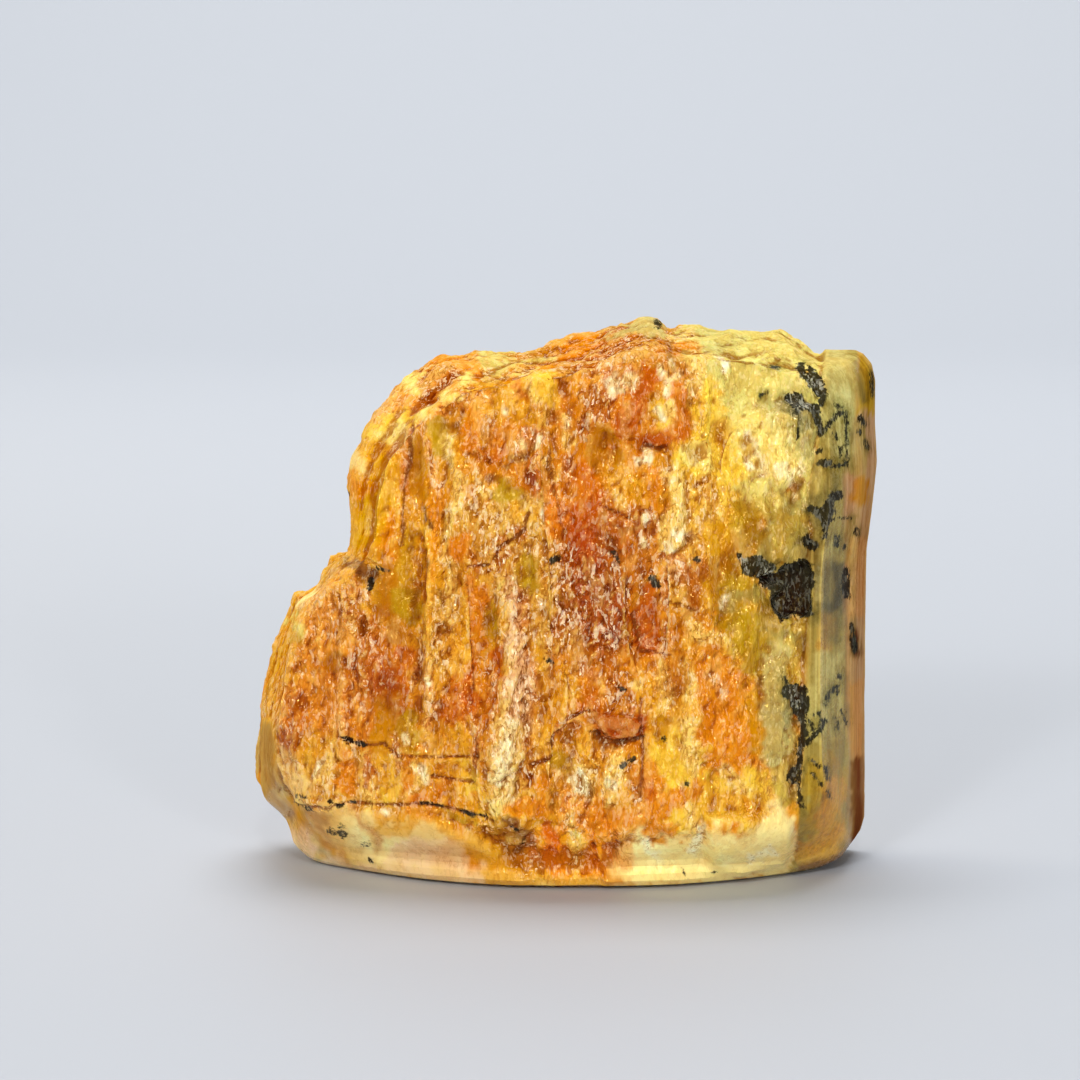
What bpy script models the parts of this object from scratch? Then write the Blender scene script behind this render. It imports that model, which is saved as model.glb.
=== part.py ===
"""Raw beryl: one broken piece of a hexagonal crystal, standing on its cleaved base.

The crystal's long axis is upright. The front is a rough, corroded fracture with upright ridges, the
right-hand end keeps two smooth prism faces, and the base is a flat cleavage. The whole stone grew as
one piece, so it is one solid.

Frame: +Z up, the front faces -Y, and the origin is the middle of the box's underside.
All the sizes below are in millimetres; the mesh is written in metres.
"""

from itertools import product

import bpy
import numpy as np

MM = 0.001

# Driving dimensions.
WIDTH = 42.8
HEIGHT = 37.4
FRONT_REACH = 10.6  # how far the front bulges from the mid plane
BACK_REACH = 12.0  # how far the upright edge of the back stands behind the mid plane
BACK_EDGE = -3.0  # where that edge lies across the width

# Grid cells of the finest form, before the flat parts are thinned out.
CELLS_ACROSS, CELLS_DEEP, CELLS_HIGH = 84, 26, 76
TRIANGLES_KEPT = 9400

# The outline seen from the front, as percent of the width from the left end and of the height.
LEFT_SIDE = (
    (5.2, 3.6), (4.1, 8.2), (3.1, 9.8), (1.6, 10.7), (0.6, 12.4), (0.1, 14.6), (0.2, 17.7), (0.1, 20.7),
    (0.5, 24.4), (1.2, 32.0), (2.4, 37.6), (2.8, 40.5), (4.9, 47.0), (5.6, 49.7), (6.3, 50.3), (8.0, 50.8),
    (9.2, 51.8), (10.1, 54.0), (11.2, 56.6), (12.6, 57.6), (14.9, 58.0), (15.3, 59.0), (15.6, 63.2),
    (15.6, 69.6), (15.9, 73.3), (15.6, 74.5), (17.5, 76.8), (18.7, 80.6), (20.3, 83.0), (23.5, 87.2),
    (24.8, 88.6), (26.8, 90.0), (30.0, 92.6),
)
TOP_SIDE = (
    (30.0, 92.6), (33.7, 93.2), (35.2, 94.0), (42.0, 94.7), (43.4, 94.3), (45.2, 94.6), (48.8, 96.2),
    (50.9, 96.5), (55.0, 96.6), (57.5, 97.9), (60.0, 98.4), (61.8, 99.3), (64.3, 99.3), (65.9, 97.5),
    (70.7, 98.4), (73.0, 98.0), (77.5, 98.5), (84.3, 98.5), (85.7, 97.7), (89.8, 95.2), (91.8, 94.5),
    (96.4, 94.5), (97.7, 93.8),
)
RIGHT_SIDE = (
    (96.8, 2.2), (97.8, 4.2), (98.1, 6.9), (97.8, 10.5), (97.6, 21.4), (98.1, 30.6), (98.4, 48.5),
    (98.5, 57.7), (99.7, 69.7), (100.0, 74.0), (99.6, 81.2), (99.7, 88.8), (99.1, 91.9), (97.7, 93.8),
)
BOTTOM_SIDE = (
    (5.2, 3.6), (6.7, 1.4), (9.0, 0.3), (14.0, 0.0), (86.0, 0.0), (91.0, 0.2), (95.0, 0.9), (96.8, 2.2),
)

# Four nested outlines carry the stone from its front rim to its back rim. Each is the outline above,
# drawn in by these widths at its left, right, bottom and top.
LEVEL_SHARES = (0.0, 0.36, 0.72, 1.0)
INSET_LEFT = (2.0, 0.5, 0.0, 2.4)
INSET_RIGHT = (4.0, 1.5, -0.1, 1.9)
INSET_BOTTOM = (4.2, 0.0, 0.0, 1.6)
INSET_TOP = (1.4, 0.3, 0.0, 2.8)
# Where the two middle outlines lie, from the mid plane, on each side.
DEPTH_LEFT = (-2.0, 4.2)
DEPTH_RIGHT = (-4.2, 3.4)
DEPTH_TOP = (-2.6, 3.0)
BASE_BACK = 6.6
BASE_FRONT_REACH = 7.3
OUTLINE_SMOOTHING = (0.05, 0.02, 0.0, 0.1)  # share of each side over which an outline is evened out
CORNER_SHARPNESS = 9  # how soon one side's depth gives way to its neighbour's at a corner
EDGE_ROUNDING = 0.045  # share of the way round an edge over which it is softened

# Upright ridges on the front: x and z of the upper end, x and z of the foot, half-width, height.
RIDGES = (
    (-4.0, 19.8, -5.0, 5.2, 0.9, 0.9),
    (-8.6, 24.5, -9.2, 12.5, 0.8, 0.6),
    (-12.4, 30.5, -13.2, 18.5, 0.7, 0.6),
    (-1.2, 35.0, -2.0, 24.0, 0.8, 0.6),
    (3.4, 20.0, 5.6, 12.0, 0.8, 0.7),
    (8.6, 20.5, 8.2, 10.0, 0.9, 0.7),
    (6.8, 34.0, 7.6, 28.0, 0.9, 0.5),
    (-10.6, 14.0, -10.0, 5.8, 0.6, 0.5),
)
# Scooped hollows with a crisp rim: x, z, half-width, half-height, depth.
HOLLOWS = (
    (13.6, 28.3, 3.2, 3.9, 1.3),
    (14.3, 20.2, 2.1, 2.2, 1.5),
    (5.0, 28.8, 2.4, 3.6, 0.8),
    (-2.0, 13.6, 1.9, 4.6, 0.9),
    (3.3, 10.3, 2.3, 1.6, 0.8),
    (-16.0, 29.0, 2.2, 4.2, 0.7),
    (-13.2, 21.2, 1.0, 1.1, 0.8),
    (-9.4, 10.8, 2.0, 2.6, 0.5),
    (9.6, 7.4, 2.4, 2.6, 0.6),
)
# Steps of the fracture: a line from one end to the other, the width of its slope, and how far the side
# on the left of that direction stands proud.
LEDGES = (
    ((-19.0, 8.6), (-4.4, 8.9), 0.5, 0.45),
    ((-4.6, 8.0), (1.8, 12.4), 0.5, 0.7),
    ((-8.2, 25.2), (-1.4, 28.6), 0.5, 0.6),
    ((1.6, 31.0), (9.6, 29.6), 0.6, 0.7),
    ((-17.4, 20.6), (-19.0, 12.6), 0.6, -0.8),
)
RIB_SPACING, RIB_LENGTH, RIB_HEIGHT = 2.6, 10.0, 0.38
FACETS = ((6.4, 1.15), (3.0, 0.65), (1.5, 0.2))  # size and height of the broken facets
FACET_TILT = ((0.86, 0.36, -0.36), (-0.29, 0.93, 0.24), (0.42, -0.10, 0.90))
LUMP_SIZE, LUMP_HEIGHT = 9.0, 0.5
SEED = 11

# Where the middle of the stone's box falls before it is moved over the origin.
BOX_MIDDLE = (-0.17, 0.60)

BERYL_COLOUR = (0.80, 0.42, 0.06, 1.0)


def clear_scene():
    for obj in list(bpy.data.objects):
        bpy.data.objects.remove(obj)


def smoothstep(value, low, high):
    share = np.clip((value - low) / (high - low), 0.0, 1.0)
    return share * share * (3.0 - 2.0 * share)


def cell_random(cells, seed):
    """A number from 0 to 1 for each whole-number cell, always the same for one cell and seed."""
    a, b, c = np.moveaxis(cells.astype(np.int64), -1, 0)
    mixed = (a * 73856093) ^ (b * 19349663) ^ (c * 83492791) ^ (seed * 40503 + 977)
    mixed = ((mixed ^ (mixed >> 15)) * 2246822519) & 0xFFFFFFFF
    mixed = ((mixed ^ (mixed >> 13)) * 3266489917) & 0xFFFFFFFF
    return ((mixed ^ (mixed >> 16)) & 0xFFFFFF) / float(0xFFFFFF)


def soft_noise(points, seed):
    """From -1 to 1: random corner values of unit cells, blended across each cell by 3t^2 - 2t^3."""
    base = np.floor(points)
    share = points - base
    share = share * share * (3.0 - 2.0 * share)
    total = 0.0
    for corner in product((0.0, 1.0), repeat=3):
        weight = np.where(np.array(corner) > 0.5, share, 1.0 - share).prod(axis=-1)
        total = total + weight * cell_random(base + corner, seed)
    return 2.0 * total - 1.0


def facet_noise(points, seed):
    """From -1 to 1 in flat facets that meet edge to edge: random corner values of unit cells, taken
    linearly across the six tetrahedra of each cell. The lattice is tilted and gently bent first, so
    that no facet lines up with another."""
    points = points @ np.array(FACET_TILT)
    bend = [soft_noise(points * 0.7, seed + shift) for shift in (31, 32, 33)]
    points = points + 0.35 * np.stack(bend, axis=-1)
    base = np.floor(points)
    share = points - base
    order = np.argsort(-share, axis=-1)
    share = np.take_along_axis(share, order, axis=-1)
    weights = np.stack([1 - share[:, 0], share[:, 0] - share[:, 1], share[:, 1] - share[:, 2], share[:, 2]])
    total = weights[0] * cell_random(base, seed)
    for k in range(3):
        base = base + np.eye(3)[order[:, k]]
        total = total + weights[k + 1] * cell_random(base, seed)
    return 2.0 * total - 1.0


def along_side(side, share, smoothing=0.0):
    """The point at that share of a side's length, or the mean of five points spread over the smoothing
    about it, for an array of shares. The ends stay where they are."""
    points = np.array(side, float) / 100.0 * (WIDTH, HEIGHT) - (WIDTH / 2.0, 0.0)
    length = np.concatenate([[0.0], np.cumsum(np.linalg.norm(np.diff(points, axis=0), axis=1))])
    reach = np.minimum(smoothing, np.minimum(share, 1.0 - share))
    total = 0.0
    for step in (-1.0, -0.5, 0.0, 0.5, 1.0):
        at = (share + step * reach) * length[-1]
        total = total + np.stack([np.interp(at, length, axis) for axis in points.T], axis=-1)
    return total / 5.0


def outline_patch(s, t, smoothing):
    """The outline filled in: the blend of its left and right sides, plus that of its bottom and top,
    less the bilinear blend of its corners."""
    left, right = along_side(LEFT_SIDE, t, smoothing), along_side(RIGHT_SIDE, t, smoothing)
    bottom, top = along_side(BOTTOM_SIDE, s, smoothing), along_side(TOP_SIDE, s, smoothing)
    ends = np.array([0.0, 1.0])
    (c00, c01), (c10, c11) = along_side(LEFT_SIDE, ends), along_side(RIGHT_SIDE, ends)
    s, t = s[:, None], t[:, None]
    corners = (1 - s) * ((1 - t) * c00 + t * c01) + s * ((1 - t) * c10 + t * c11)
    return (1 - s) * left + s * right + (1 - t) * bottom + t * top - corners


def nested_outline(s, t, level):
    """The outline drawn in by that level's insets, each fading towards the opposite side."""
    drawn = outline_patch(s, t, OUTLINE_SMOOTHING[level])
    drawn[:, 0] += INSET_LEFT[level] * (1 - s) ** 3 - INSET_RIGHT[level] * s**3
    drawn[:, 1] += INSET_BOTTOM[level] * (1 - t) ** 3 - INSET_TOP[level] * t**3
    return drawn


def distance_to_line(x, z, start, end):
    """Distance from a segment, signed by the side, and the share of the way along it."""
    dx, dz = end[0] - start[0], end[1] - start[1]
    length = float(np.hypot(dx, dz))
    along = ((x - start[0]) * dx + (z - start[1]) * dz) / length**2
    across = (dx * (z - start[1]) - dz * (x - start[0])) / length
    return across, along


def ridge_relief(x, z):
    """Each ridge is a bell curve across its line, fading over a tenth of its length past each end."""
    total = 0.0
    for x_top, z_top, x_foot, z_foot, half_width, height in RIDGES:
        across, along = distance_to_line(x, z, (x_top, z_top), (x_foot, z_foot))
        ends = smoothstep(along, -0.1, 0.12) * smoothstep(along, 1.1, 0.88)
        total = total + height * ends * np.exp(-((across / half_width) ** 2))
    return total


def hollow_relief(x, z):
    """Each hollow is a bowl, 1 - r^2 deep inside its ellipse and level outside it."""
    total = 0.0
    for x_mid, z_mid, half_width, half_height, depth in HOLLOWS:
        r = ((x - x_mid) / half_width) ** 2 + ((z - z_mid) / half_height) ** 2
        total = total - depth * np.clip(1.0 - r, 0.0, None)
    return total


def ledge_relief(x, z):
    """Each ledge is a smooth step across its line, dying away over 4 mm behind the edge."""
    total = 0.0
    for start, end, slope, height in LEDGES:
        across, along = distance_to_line(x, z, start, end)
        ends = smoothstep(along, -0.08, 0.08) * smoothstep(along, 1.08, 0.92)
        total = total + height * ends * smoothstep(across, -slope, slope) * np.exp(-np.abs(across) / 4.0)
    return total


def rib_relief(x, z):
    """Upright growth ribs: folded noise, narrow across and long up the crystal."""
    points = np.stack([x / RIB_SPACING, np.zeros_like(x), z / RIB_LENGTH], axis=-1)
    return RIB_HEIGHT * (1.0 - 2.0 * np.abs(soft_noise(points, SEED)))


def front_depth(x, z):
    """How far the front stands before the mid plane: a dome that falls away to the left, the top and
    the right-hand edge, with its ribs, ridges, ledges and hollows on it."""
    left = 6.4 * np.clip(-(x - 3.0) / 24.0, 0.0, None) ** 2.0
    right = 2.4 * np.clip((x - 3.0) / 14.0, 0.0, None) ** 2.0
    top = 3.6 * np.clip((z - 20.0) / 17.0, 0.0, None) ** 2.0
    foot = 0.8 * np.clip((7.0 - z) / 7.0, 0.0, None) ** 2.0
    dome = FRONT_REACH - left - right - top - foot
    rough = ridge_relief(x, z) + hollow_relief(x, z) + ledge_relief(x, z) + rib_relief(x, z)
    edge = smoothstep(x, 16.4, 14.6)
    foot_fade = smoothstep(z, 2.0, 5.0)
    return dome + rough * (0.25 + 0.75 * edge * foot_fade)


def back_depth(x, z):
    """How far the back stands behind the mid plane: two broad flats that meet in an upright edge."""
    flats = BACK_REACH - 0.29 * np.abs(x - BACK_EDGE)
    top = 2.0 * np.clip((z - 22.0) / 15.0, 0.0, None) ** 2.0
    return flats - top + 0.7 * rib_relief(x + 60.0, z)


def base_front(x):
    """The front edge of the base in plan: an arc that swings back at both ends."""
    return -BASE_FRONT_REACH * np.clip(1.0 - np.abs((x - 1.0) / 17.5) ** 2.6, -0.4, None)


def middle_depth(s, t, level, x):
    """Where a middle outline lies, blended between neighbouring sides near each corner."""
    weights = np.stack([1 - s, s, 1 - t, t], axis=-1) ** CORNER_SHARPNESS
    base = base_front(x) if level == 1 else np.full_like(x, BASE_BACK)
    sides = [np.full_like(x, DEPTH_LEFT[level - 1]), np.full_like(x, DEPTH_RIGHT[level - 1]), base]
    sides.append(np.full_like(x, DEPTH_TOP[level - 1]))
    return (weights * np.stack(sides, axis=-1)).sum(axis=-1) / weights.sum(axis=-1)


def level_points(s, t, level):
    drawn = nested_outline(s, t, level)
    x, z = drawn[:, 0], drawn[:, 1]
    if level == 0:
        y = -front_depth(x, z)
    elif level == 3:
        y = back_depth(x, z)
    else:
        y = middle_depth(s, t, level, x)
    return np.stack([x, y, z], axis=-1)


def stone_points(s, d, t):
    """The surface for box coordinates from 0 to 1: across, deep and high. The depth runs through the
    four nested outlines, and the corners between them are softened by a short running mean."""
    levels = [level_points(s, t, level) for level in range(4)]

    def at(depth):
        place = np.interp(depth, LEVEL_SHARES, (0.0, 1.0, 2.0, 3.0))
        lower = np.clip(np.floor(place).astype(int), 0, 2)
        share = (place - lower)[:, None]
        stacked = np.stack(levels)
        index = np.arange(len(depth))
        return (1 - share) * stacked[lower, index] + share * stacked[lower + 1, index]

    soften = np.minimum(EDGE_ROUNDING, np.minimum(d, 1.0 - d))
    return 0.25 * at(d - soften) + 0.5 * at(d) + 0.25 * at(d + soften)


def box_grid(across, deep, high):
    """The six sides of a box of cells as one closed quad mesh: whole-number corners, and quads that
    face outwards."""

    def sheet(fixed_axis, value, first, second, flip):
        a, b = np.meshgrid(np.arange(counts[first]), np.arange(counts[second]), indexing="ij")
        quads = []
        for da, db in ((0, 0), (1, 0), (1, 1), (0, 1)):
            corner = np.zeros(a.shape + (3,), int)
            corner[..., fixed_axis] = value
            corner[..., first] = a + da
            corner[..., second] = b + db
            quads.append(corner.reshape(-1, 3))
        quads = np.stack(quads, axis=1)
        return quads[:, ::-1] if flip else quads

    counts = (across, deep, high)
    sheets = []
    for axis, first, second in ((0, 1, 2), (1, 2, 0), (2, 0, 1)):
        sheets.append(sheet(axis, 0, first, second, True))
        sheets.append(sheet(axis, counts[axis], first, second, False))
    corners, index = np.unique(np.concatenate(sheets).reshape(-1, 3), axis=0, return_inverse=True)
    return corners, index.reshape(-1, 4)


def outward_normals(points, quads):
    """Each corner's normal: the sum of its quads' normals, from the cross product of their diagonals."""
    a, b, c, d = (points[quads[:, k]] for k in range(4))
    faces = np.cross(c - a, d - b)
    total = np.zeros_like(points)
    for k in range(4):
        np.add.at(total, quads[:, k], faces)
    return total / np.maximum(np.linalg.norm(total, axis=1, keepdims=True), 1e-9)


def roughness_share(points):
    """1 on broken surfaces, low on the two prism faces of the right-hand end, 0 on the flat base."""
    x, y, z = points.T
    prism = smoothstep(x, 15.6, 16.8) * smoothstep(y, -8.5, -7.0) * smoothstep(y, 8.5, 6.5)
    broken = 1.0 - 0.85 * prism * smoothstep(z, 35.0, 33.5)
    band = 0.45 + 0.55 * smoothstep(z, 2.6, 4.6)
    return broken * band * smoothstep(z, 0.0, 0.9)


def beryl_mesh():
    corners, quads = box_grid(CELLS_ACROSS, CELLS_DEEP, CELLS_HIGH)
    s, d, t = (corners / (CELLS_ACROSS, CELLS_DEEP, CELLS_HIGH)).T
    points = stone_points(s, d, t)
    normals = outward_normals(points, quads)
    relief = LUMP_HEIGHT * soft_noise(points / LUMP_SIZE, SEED + 2)
    for size, height in FACETS:
        relief = relief + height * facet_noise(points * (1.0, 1.0, 0.62) / size, SEED + 3)
    relief = relief * roughness_share(points) * (0.5 + 0.5 * np.abs(normals[:, 1]))
    points = points + normals * relief[:, None]
    points[:, 2] = np.maximum(points[:, 2], 0.0)
    points[:, :2] -= BOX_MIDDLE
    mesh = bpy.data.meshes.new("raw_beryl")
    mesh.from_pydata(points * MM, [], quads)
    mesh.validate()
    return mesh


def beryl_material():
    material = bpy.data.materials.new("beryl")
    material.use_nodes = True
    shader = material.node_tree.nodes["Principled BSDF"]
    shader.inputs["Base Color"].default_value = BERYL_COLOUR
    shader.inputs["Roughness"].default_value = 0.3
    shader.inputs["Metallic"].default_value = 0.0
    return material


def build_beryl():
    """The stone as a fine closed grid, thinned so that its flat faces take few triangles."""
    stone = bpy.data.objects.new("raw_beryl", beryl_mesh())
    bpy.context.collection.objects.link(stone)
    stone.data.materials.append(beryl_material())
    thin = stone.modifiers.new("thin out the flats", "DECIMATE")
    thin.ratio = TRIANGLES_KEPT / (2.0 * len(stone.data.polygons))
    return stone


clear_scene()
build_beryl()
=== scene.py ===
# %% [markdown]
# # A raw beryl crystal
#
# The subject is a hand-sized broken piece of golden beryl. Beryl grows as six-sided prisms, and this
# piece keeps two smooth prism faces at its right-hand end. The rest of its front is an old fracture,
# ribbed upright along the crystal's axis, glassy, and stained orange where iron-rich water ran in.
# Black and dark green mineral grew into it near the right edge.
#
# The stone is one closed surface. It is worked out with numpy in millimetres, its large forms first and
# its fine breakage after, and everything painted on it is worked out from the same places.

import bpy
import numpy as np
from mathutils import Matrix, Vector


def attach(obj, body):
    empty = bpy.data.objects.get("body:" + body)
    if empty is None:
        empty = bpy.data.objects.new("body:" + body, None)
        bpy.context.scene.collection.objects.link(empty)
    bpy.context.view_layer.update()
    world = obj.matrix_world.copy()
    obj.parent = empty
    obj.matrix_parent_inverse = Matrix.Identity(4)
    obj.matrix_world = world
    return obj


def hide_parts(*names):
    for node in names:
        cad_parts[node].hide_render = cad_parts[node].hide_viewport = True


MM = 0.001
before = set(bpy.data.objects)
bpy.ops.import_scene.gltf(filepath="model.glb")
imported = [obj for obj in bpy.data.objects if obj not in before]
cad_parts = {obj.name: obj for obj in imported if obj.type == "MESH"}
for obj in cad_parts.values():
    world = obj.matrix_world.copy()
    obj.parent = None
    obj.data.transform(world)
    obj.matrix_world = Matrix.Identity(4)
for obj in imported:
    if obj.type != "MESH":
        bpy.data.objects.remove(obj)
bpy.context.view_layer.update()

# %% [markdown]
# ## The camera
#
# A long lens from a little above the horizontal, so that the upright edges stay nearly parallel and the
# front edge of the base shows as a shallow arc. The camera comes first because the marks on the front
# are named by their places in its square picture, 1080 units across, as a restorer would note them on a
# tracing laid over the stone.

# %% Camera and picture places
PICTURE = 1080.0
LENS, SENSOR = 120.0, 36.0
MM_PER_UNIT = 0.0679
ELEVATION = np.radians(7.0)
AIM_ACROSS, AIM_UP = -25.75, 328.5  # the target from the middle of the base, in picture units
BOX_MIDDLE = np.array([-0.17, 0.60, 0.0])  # where the stone's forms stand, before they are centred

look_back = np.array([0.0, -np.cos(ELEVATION), np.sin(ELEVATION)])
look_right = np.array([1.0, 0.0, 0.0])
look_up = np.cross(look_back, look_right)
camera_target = np.array([AIM_ACROSS, 0.0, AIM_UP / np.cos(ELEVATION)]) * MM_PER_UNIT - BOX_MIDDLE
camera_place = camera_target + look_back * PICTURE * MM_PER_UNIT * LENS / SENSOR


def picture_places(points):
    """Where points in mm fall in the picture: units from the left, and units down from the top. It is
    the sideways distance over the distance ahead, times the lens length over the sensor width."""
    away = points - camera_place
    ahead = -(away @ look_back)
    scale = PICTURE * LENS / SENSOR / ahead
    return PICTURE / 2 + (away @ look_right) * scale, PICTURE / 2 - (away @ look_up) * scale


camera_data = bpy.data.cameras.new("camera")
camera_data.lens = LENS
camera_data.sensor_width = SENSOR
camera_data.clip_start = 0.01
camera_data.clip_end = 10.0
camera = bpy.data.objects.new("camera", camera_data)
bpy.context.collection.objects.link(camera)
camera.location = camera_place * MM
camera.rotation_euler = (np.pi / 2 - ELEVATION, 0.0, 0.0)
bpy.context.scene.camera = camera
print("camera stands", round(float(np.linalg.norm(camera_place - camera_target))), "mm from its target")

# %% [markdown]
# ## Noise
#
# Broken stone needs two kinds of chance. Soft noise blends smoothly between random values and bends
# things. Facet noise joins the same random values by flat triangles, so that it has the sharp creases
# and level planes of a fracture. Both take a whole array of points at once.

# %% Noise helpers


def smoothstep(value, low, high):
    """From 0 at low to 1 at high and level beyond both, by 3t^2 - 2t^3, where t is the share of the way.
    With low above high it runs the other way."""
    share = np.clip((value - low) / (high - low), 0.0, 1.0)
    return share * share * (3.0 - 2.0 * share)


def cell_random(cells, seed):
    """A number from 0 to 1 for each whole-number cell, always the same for one cell and seed. The large
    odd multipliers and the shifts only scatter the bits, so that neighbouring cells have no likeness."""
    a, b, c = np.moveaxis(cells.astype(np.int64), -1, 0)
    bits = (a * 73856093) ^ (b * 19349663) ^ (c * 83492791) ^ (seed * 40503 + 977)
    bits = ((bits ^ (bits >> 15)) * 2246822519) & 0xFFFFFFFF
    bits = ((bits ^ (bits >> 13)) * 3266489917) & 0xFFFFFFFF
    return ((bits ^ (bits >> 16)) & 0xFFFFFF) / float(0xFFFFFF)


def soft_noise(points, seed):
    """From -1 to 1: random corner values of unit cells, blended smoothly across each cell."""
    base = np.floor(points)
    share = smoothstep(points - base, 0.0, 1.0)
    total = 0.0
    for corner in np.ndindex(2, 2, 2):
        weight = np.where(np.array(corner) > 0, share, 1.0 - share).prod(axis=-1)
        total = total + weight * cell_random(base + corner, seed)
    return 2.0 * total - 1.0


FACET_TILT = np.array([[0.86, 0.36, -0.36], [-0.29, 0.93, 0.24], [0.42, -0.10, 0.90]])


def facet_noise(points, seed):
    """From -1 to 1 in flat facets that meet edge to edge: random corner values of unit cells, taken
    linearly across the six tetrahedra of each cell. The lattice is tilted and gently bent first, so
    that no facet lines up with another."""
    points = points @ FACET_TILT
    bend = [soft_noise(points * 0.7, seed + shift) for shift in (31, 32, 33)]
    points = points + 0.35 * np.stack(bend, axis=-1)
    base = np.floor(points)
    share = points - base
    order = np.argsort(-share, axis=-1)
    share = np.take_along_axis(share, order, axis=-1)
    weights = np.stack([1 - share[:, 0], share[:, 0] - share[:, 1], share[:, 1] - share[:, 2], share[:, 2]])
    total = weights[0] * cell_random(base, seed)
    for k in range(3):
        base = base + np.eye(3)[order[:, k]]
        total = total + weights[k + 1] * cell_random(base, seed)
    return 2.0 * total - 1.0


# %% [markdown]
# ## The large form
#
# The stone could be carved from a block or stitched from planes. Here it is four nested outlines, the
# front rim, two in the middle and the back rim, each the same drawn outline pulled in a little. Between
# the two rims the surface runs from outline to outline, and the front and back are the outline filled
# in and pushed out to a depth.

# %% Outlines
WIDTH, HEIGHT = 42.8, 37.4

# Each side of the outline, in hundredths of the width, from the left, and of the height.
LEFT_SIDE = (
    (5.2, 3.6), (4.1, 8.2), (3.1, 9.8), (1.6, 10.7), (0.6, 12.4), (0.1, 14.6), (0.2, 17.7), (0.1, 20.7),
    (0.5, 24.4), (1.2, 32.0), (2.4, 37.6), (2.8, 40.5), (4.9, 47.0), (5.6, 49.7), (6.3, 50.3), (8.0, 50.8),
    (9.2, 51.8), (10.1, 54.0), (11.2, 56.6), (12.6, 57.6), (14.9, 58.0), (15.3, 59.0), (15.6, 63.2),
    (15.6, 69.6), (15.9, 73.3), (15.6, 74.5), (17.5, 76.8), (18.7, 80.6), (20.3, 83.0), (23.5, 87.2),
    (24.8, 88.6), (26.8, 90.0), (30.0, 92.6),
)
TOP_SIDE = (
    (30.0, 92.6), (33.7, 93.2), (35.2, 94.0), (42.0, 94.7), (43.4, 94.3), (45.2, 94.6), (48.8, 96.2),
    (50.9, 96.5), (55.0, 96.6), (57.5, 97.9), (60.0, 98.4), (61.8, 99.3), (64.3, 99.3), (65.9, 97.5),
    (70.7, 98.4), (73.0, 98.0), (77.5, 98.5), (84.3, 98.5), (85.7, 97.7), (89.8, 95.2), (91.8, 94.5),
    (96.4, 94.5), (97.7, 93.8),
)
RIGHT_SIDE = (
    (97.2, 2.2), (98.4, 4.2), (99.0, 6.9), (99.0, 10.5), (98.7, 21.4), (98.5, 30.6), (98.5, 48.5),
    (98.5, 57.7), (99.7, 69.7), (100.0, 74.0), (99.6, 81.2), (99.7, 88.8), (99.1, 91.9), (97.7, 93.8),
)
BOTTOM_SIDE = (
    (5.2, 3.6), (6.7, 1.4), (9.0, 0.3), (14.0, 0.0), (86.0, 0.0), (91.0, 0.2), (95.0, 0.9), (97.2, 2.2),
)

# For each of the four outlines: its share of the way back, how far each side is drawn in, in mm, and the
# share of a side over which its corners are smoothed.
LEVEL_SHARES = (0.0, 0.36, 0.72, 1.0)
INSET_LEFT = (2.0, 0.5, 0.0, 2.4)
INSET_RIGHT = (4.0, 1.5, -0.1, 1.9)
INSET_BOTTOM = (4.2, 0.0, 0.0, 1.6)
INSET_TOP = (1.4, 0.3, 0.0, 2.8)
OUTLINE_SMOOTHING = (0.05, 0.02, 0.0, 0.1)


def along_side(side, share, smoothing=0.0):
    """The point at that share of a side's length, or the mean of five points spread over the smoothing
    about it, for an array of shares. The ends stay where they are."""
    points = np.array(side, float) / 100.0 * (WIDTH, HEIGHT) - (WIDTH / 2.0, 0.0)
    length = np.concatenate([[0.0], np.cumsum(np.linalg.norm(np.diff(points, axis=0), axis=1))])
    reach = np.minimum(smoothing, np.minimum(share, 1.0 - share))
    total = 0.0
    for step in (-1.0, -0.5, 0.0, 0.5, 1.0):
        at = (share + step * reach) * length[-1]
        total = total + np.stack([np.interp(at, length, axis) for axis in points.T], axis=-1)
    return total / 5.0


def nested_outline(s, t, level):
    """The filled outline: the blend of its left and right sides, plus that of its bottom and top, less
    the bilinear blend of its corners. The level's insets then draw each side in, fading across."""
    smoothing = OUTLINE_SMOOTHING[level]
    left, right = along_side(LEFT_SIDE, t, smoothing), along_side(RIGHT_SIDE, t, smoothing)
    bottom, top = along_side(BOTTOM_SIDE, s, smoothing), along_side(TOP_SIDE, s, smoothing)
    ends = np.array([0.0, 1.0])
    (c00, c01), (c10, c11) = along_side(LEFT_SIDE, ends), along_side(RIGHT_SIDE, ends)
    s, t = s[:, None], t[:, None]
    corners = (1 - s) * ((1 - t) * c00 + t * c01) + s * ((1 - t) * c10 + t * c11)
    drawn = (1 - s) * left + s * right + (1 - t) * bottom + t * top - corners
    s, t = s[:, 0], t[:, 0]
    drawn[:, 0] += INSET_LEFT[level] * (1 - s) ** 3 - INSET_RIGHT[level] * s**3
    drawn[:, 1] += INSET_BOTTOM[level] * (1 - t) ** 3 - INSET_TOP[level] * t**3
    return drawn


# %% [markdown]
# The front is a shallow dome that falls away to the left, the top and the prism faces. On it stand the
# main upright ridges, scooped hollows with a crisp rim, steps, and growth ribs. The back is two broad
# flats that meet in an upright edge, as two faces of the prism would.

# %% Depths
FRONT_REACH, BACK_REACH, BACK_EDGE = 10.6, 12.0, -3.0
DEPTH_LEFT, DEPTH_RIGHT, DEPTH_TOP = (-2.0, 4.2), (-4.2, 3.4), (-2.6, 3.0)
BASE_BACK, BASE_FRONT_REACH = 6.6, 8.2
CORNER_SHARPNESS, EDGE_ROUNDING = 9, 0.045
SEED = 11

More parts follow.
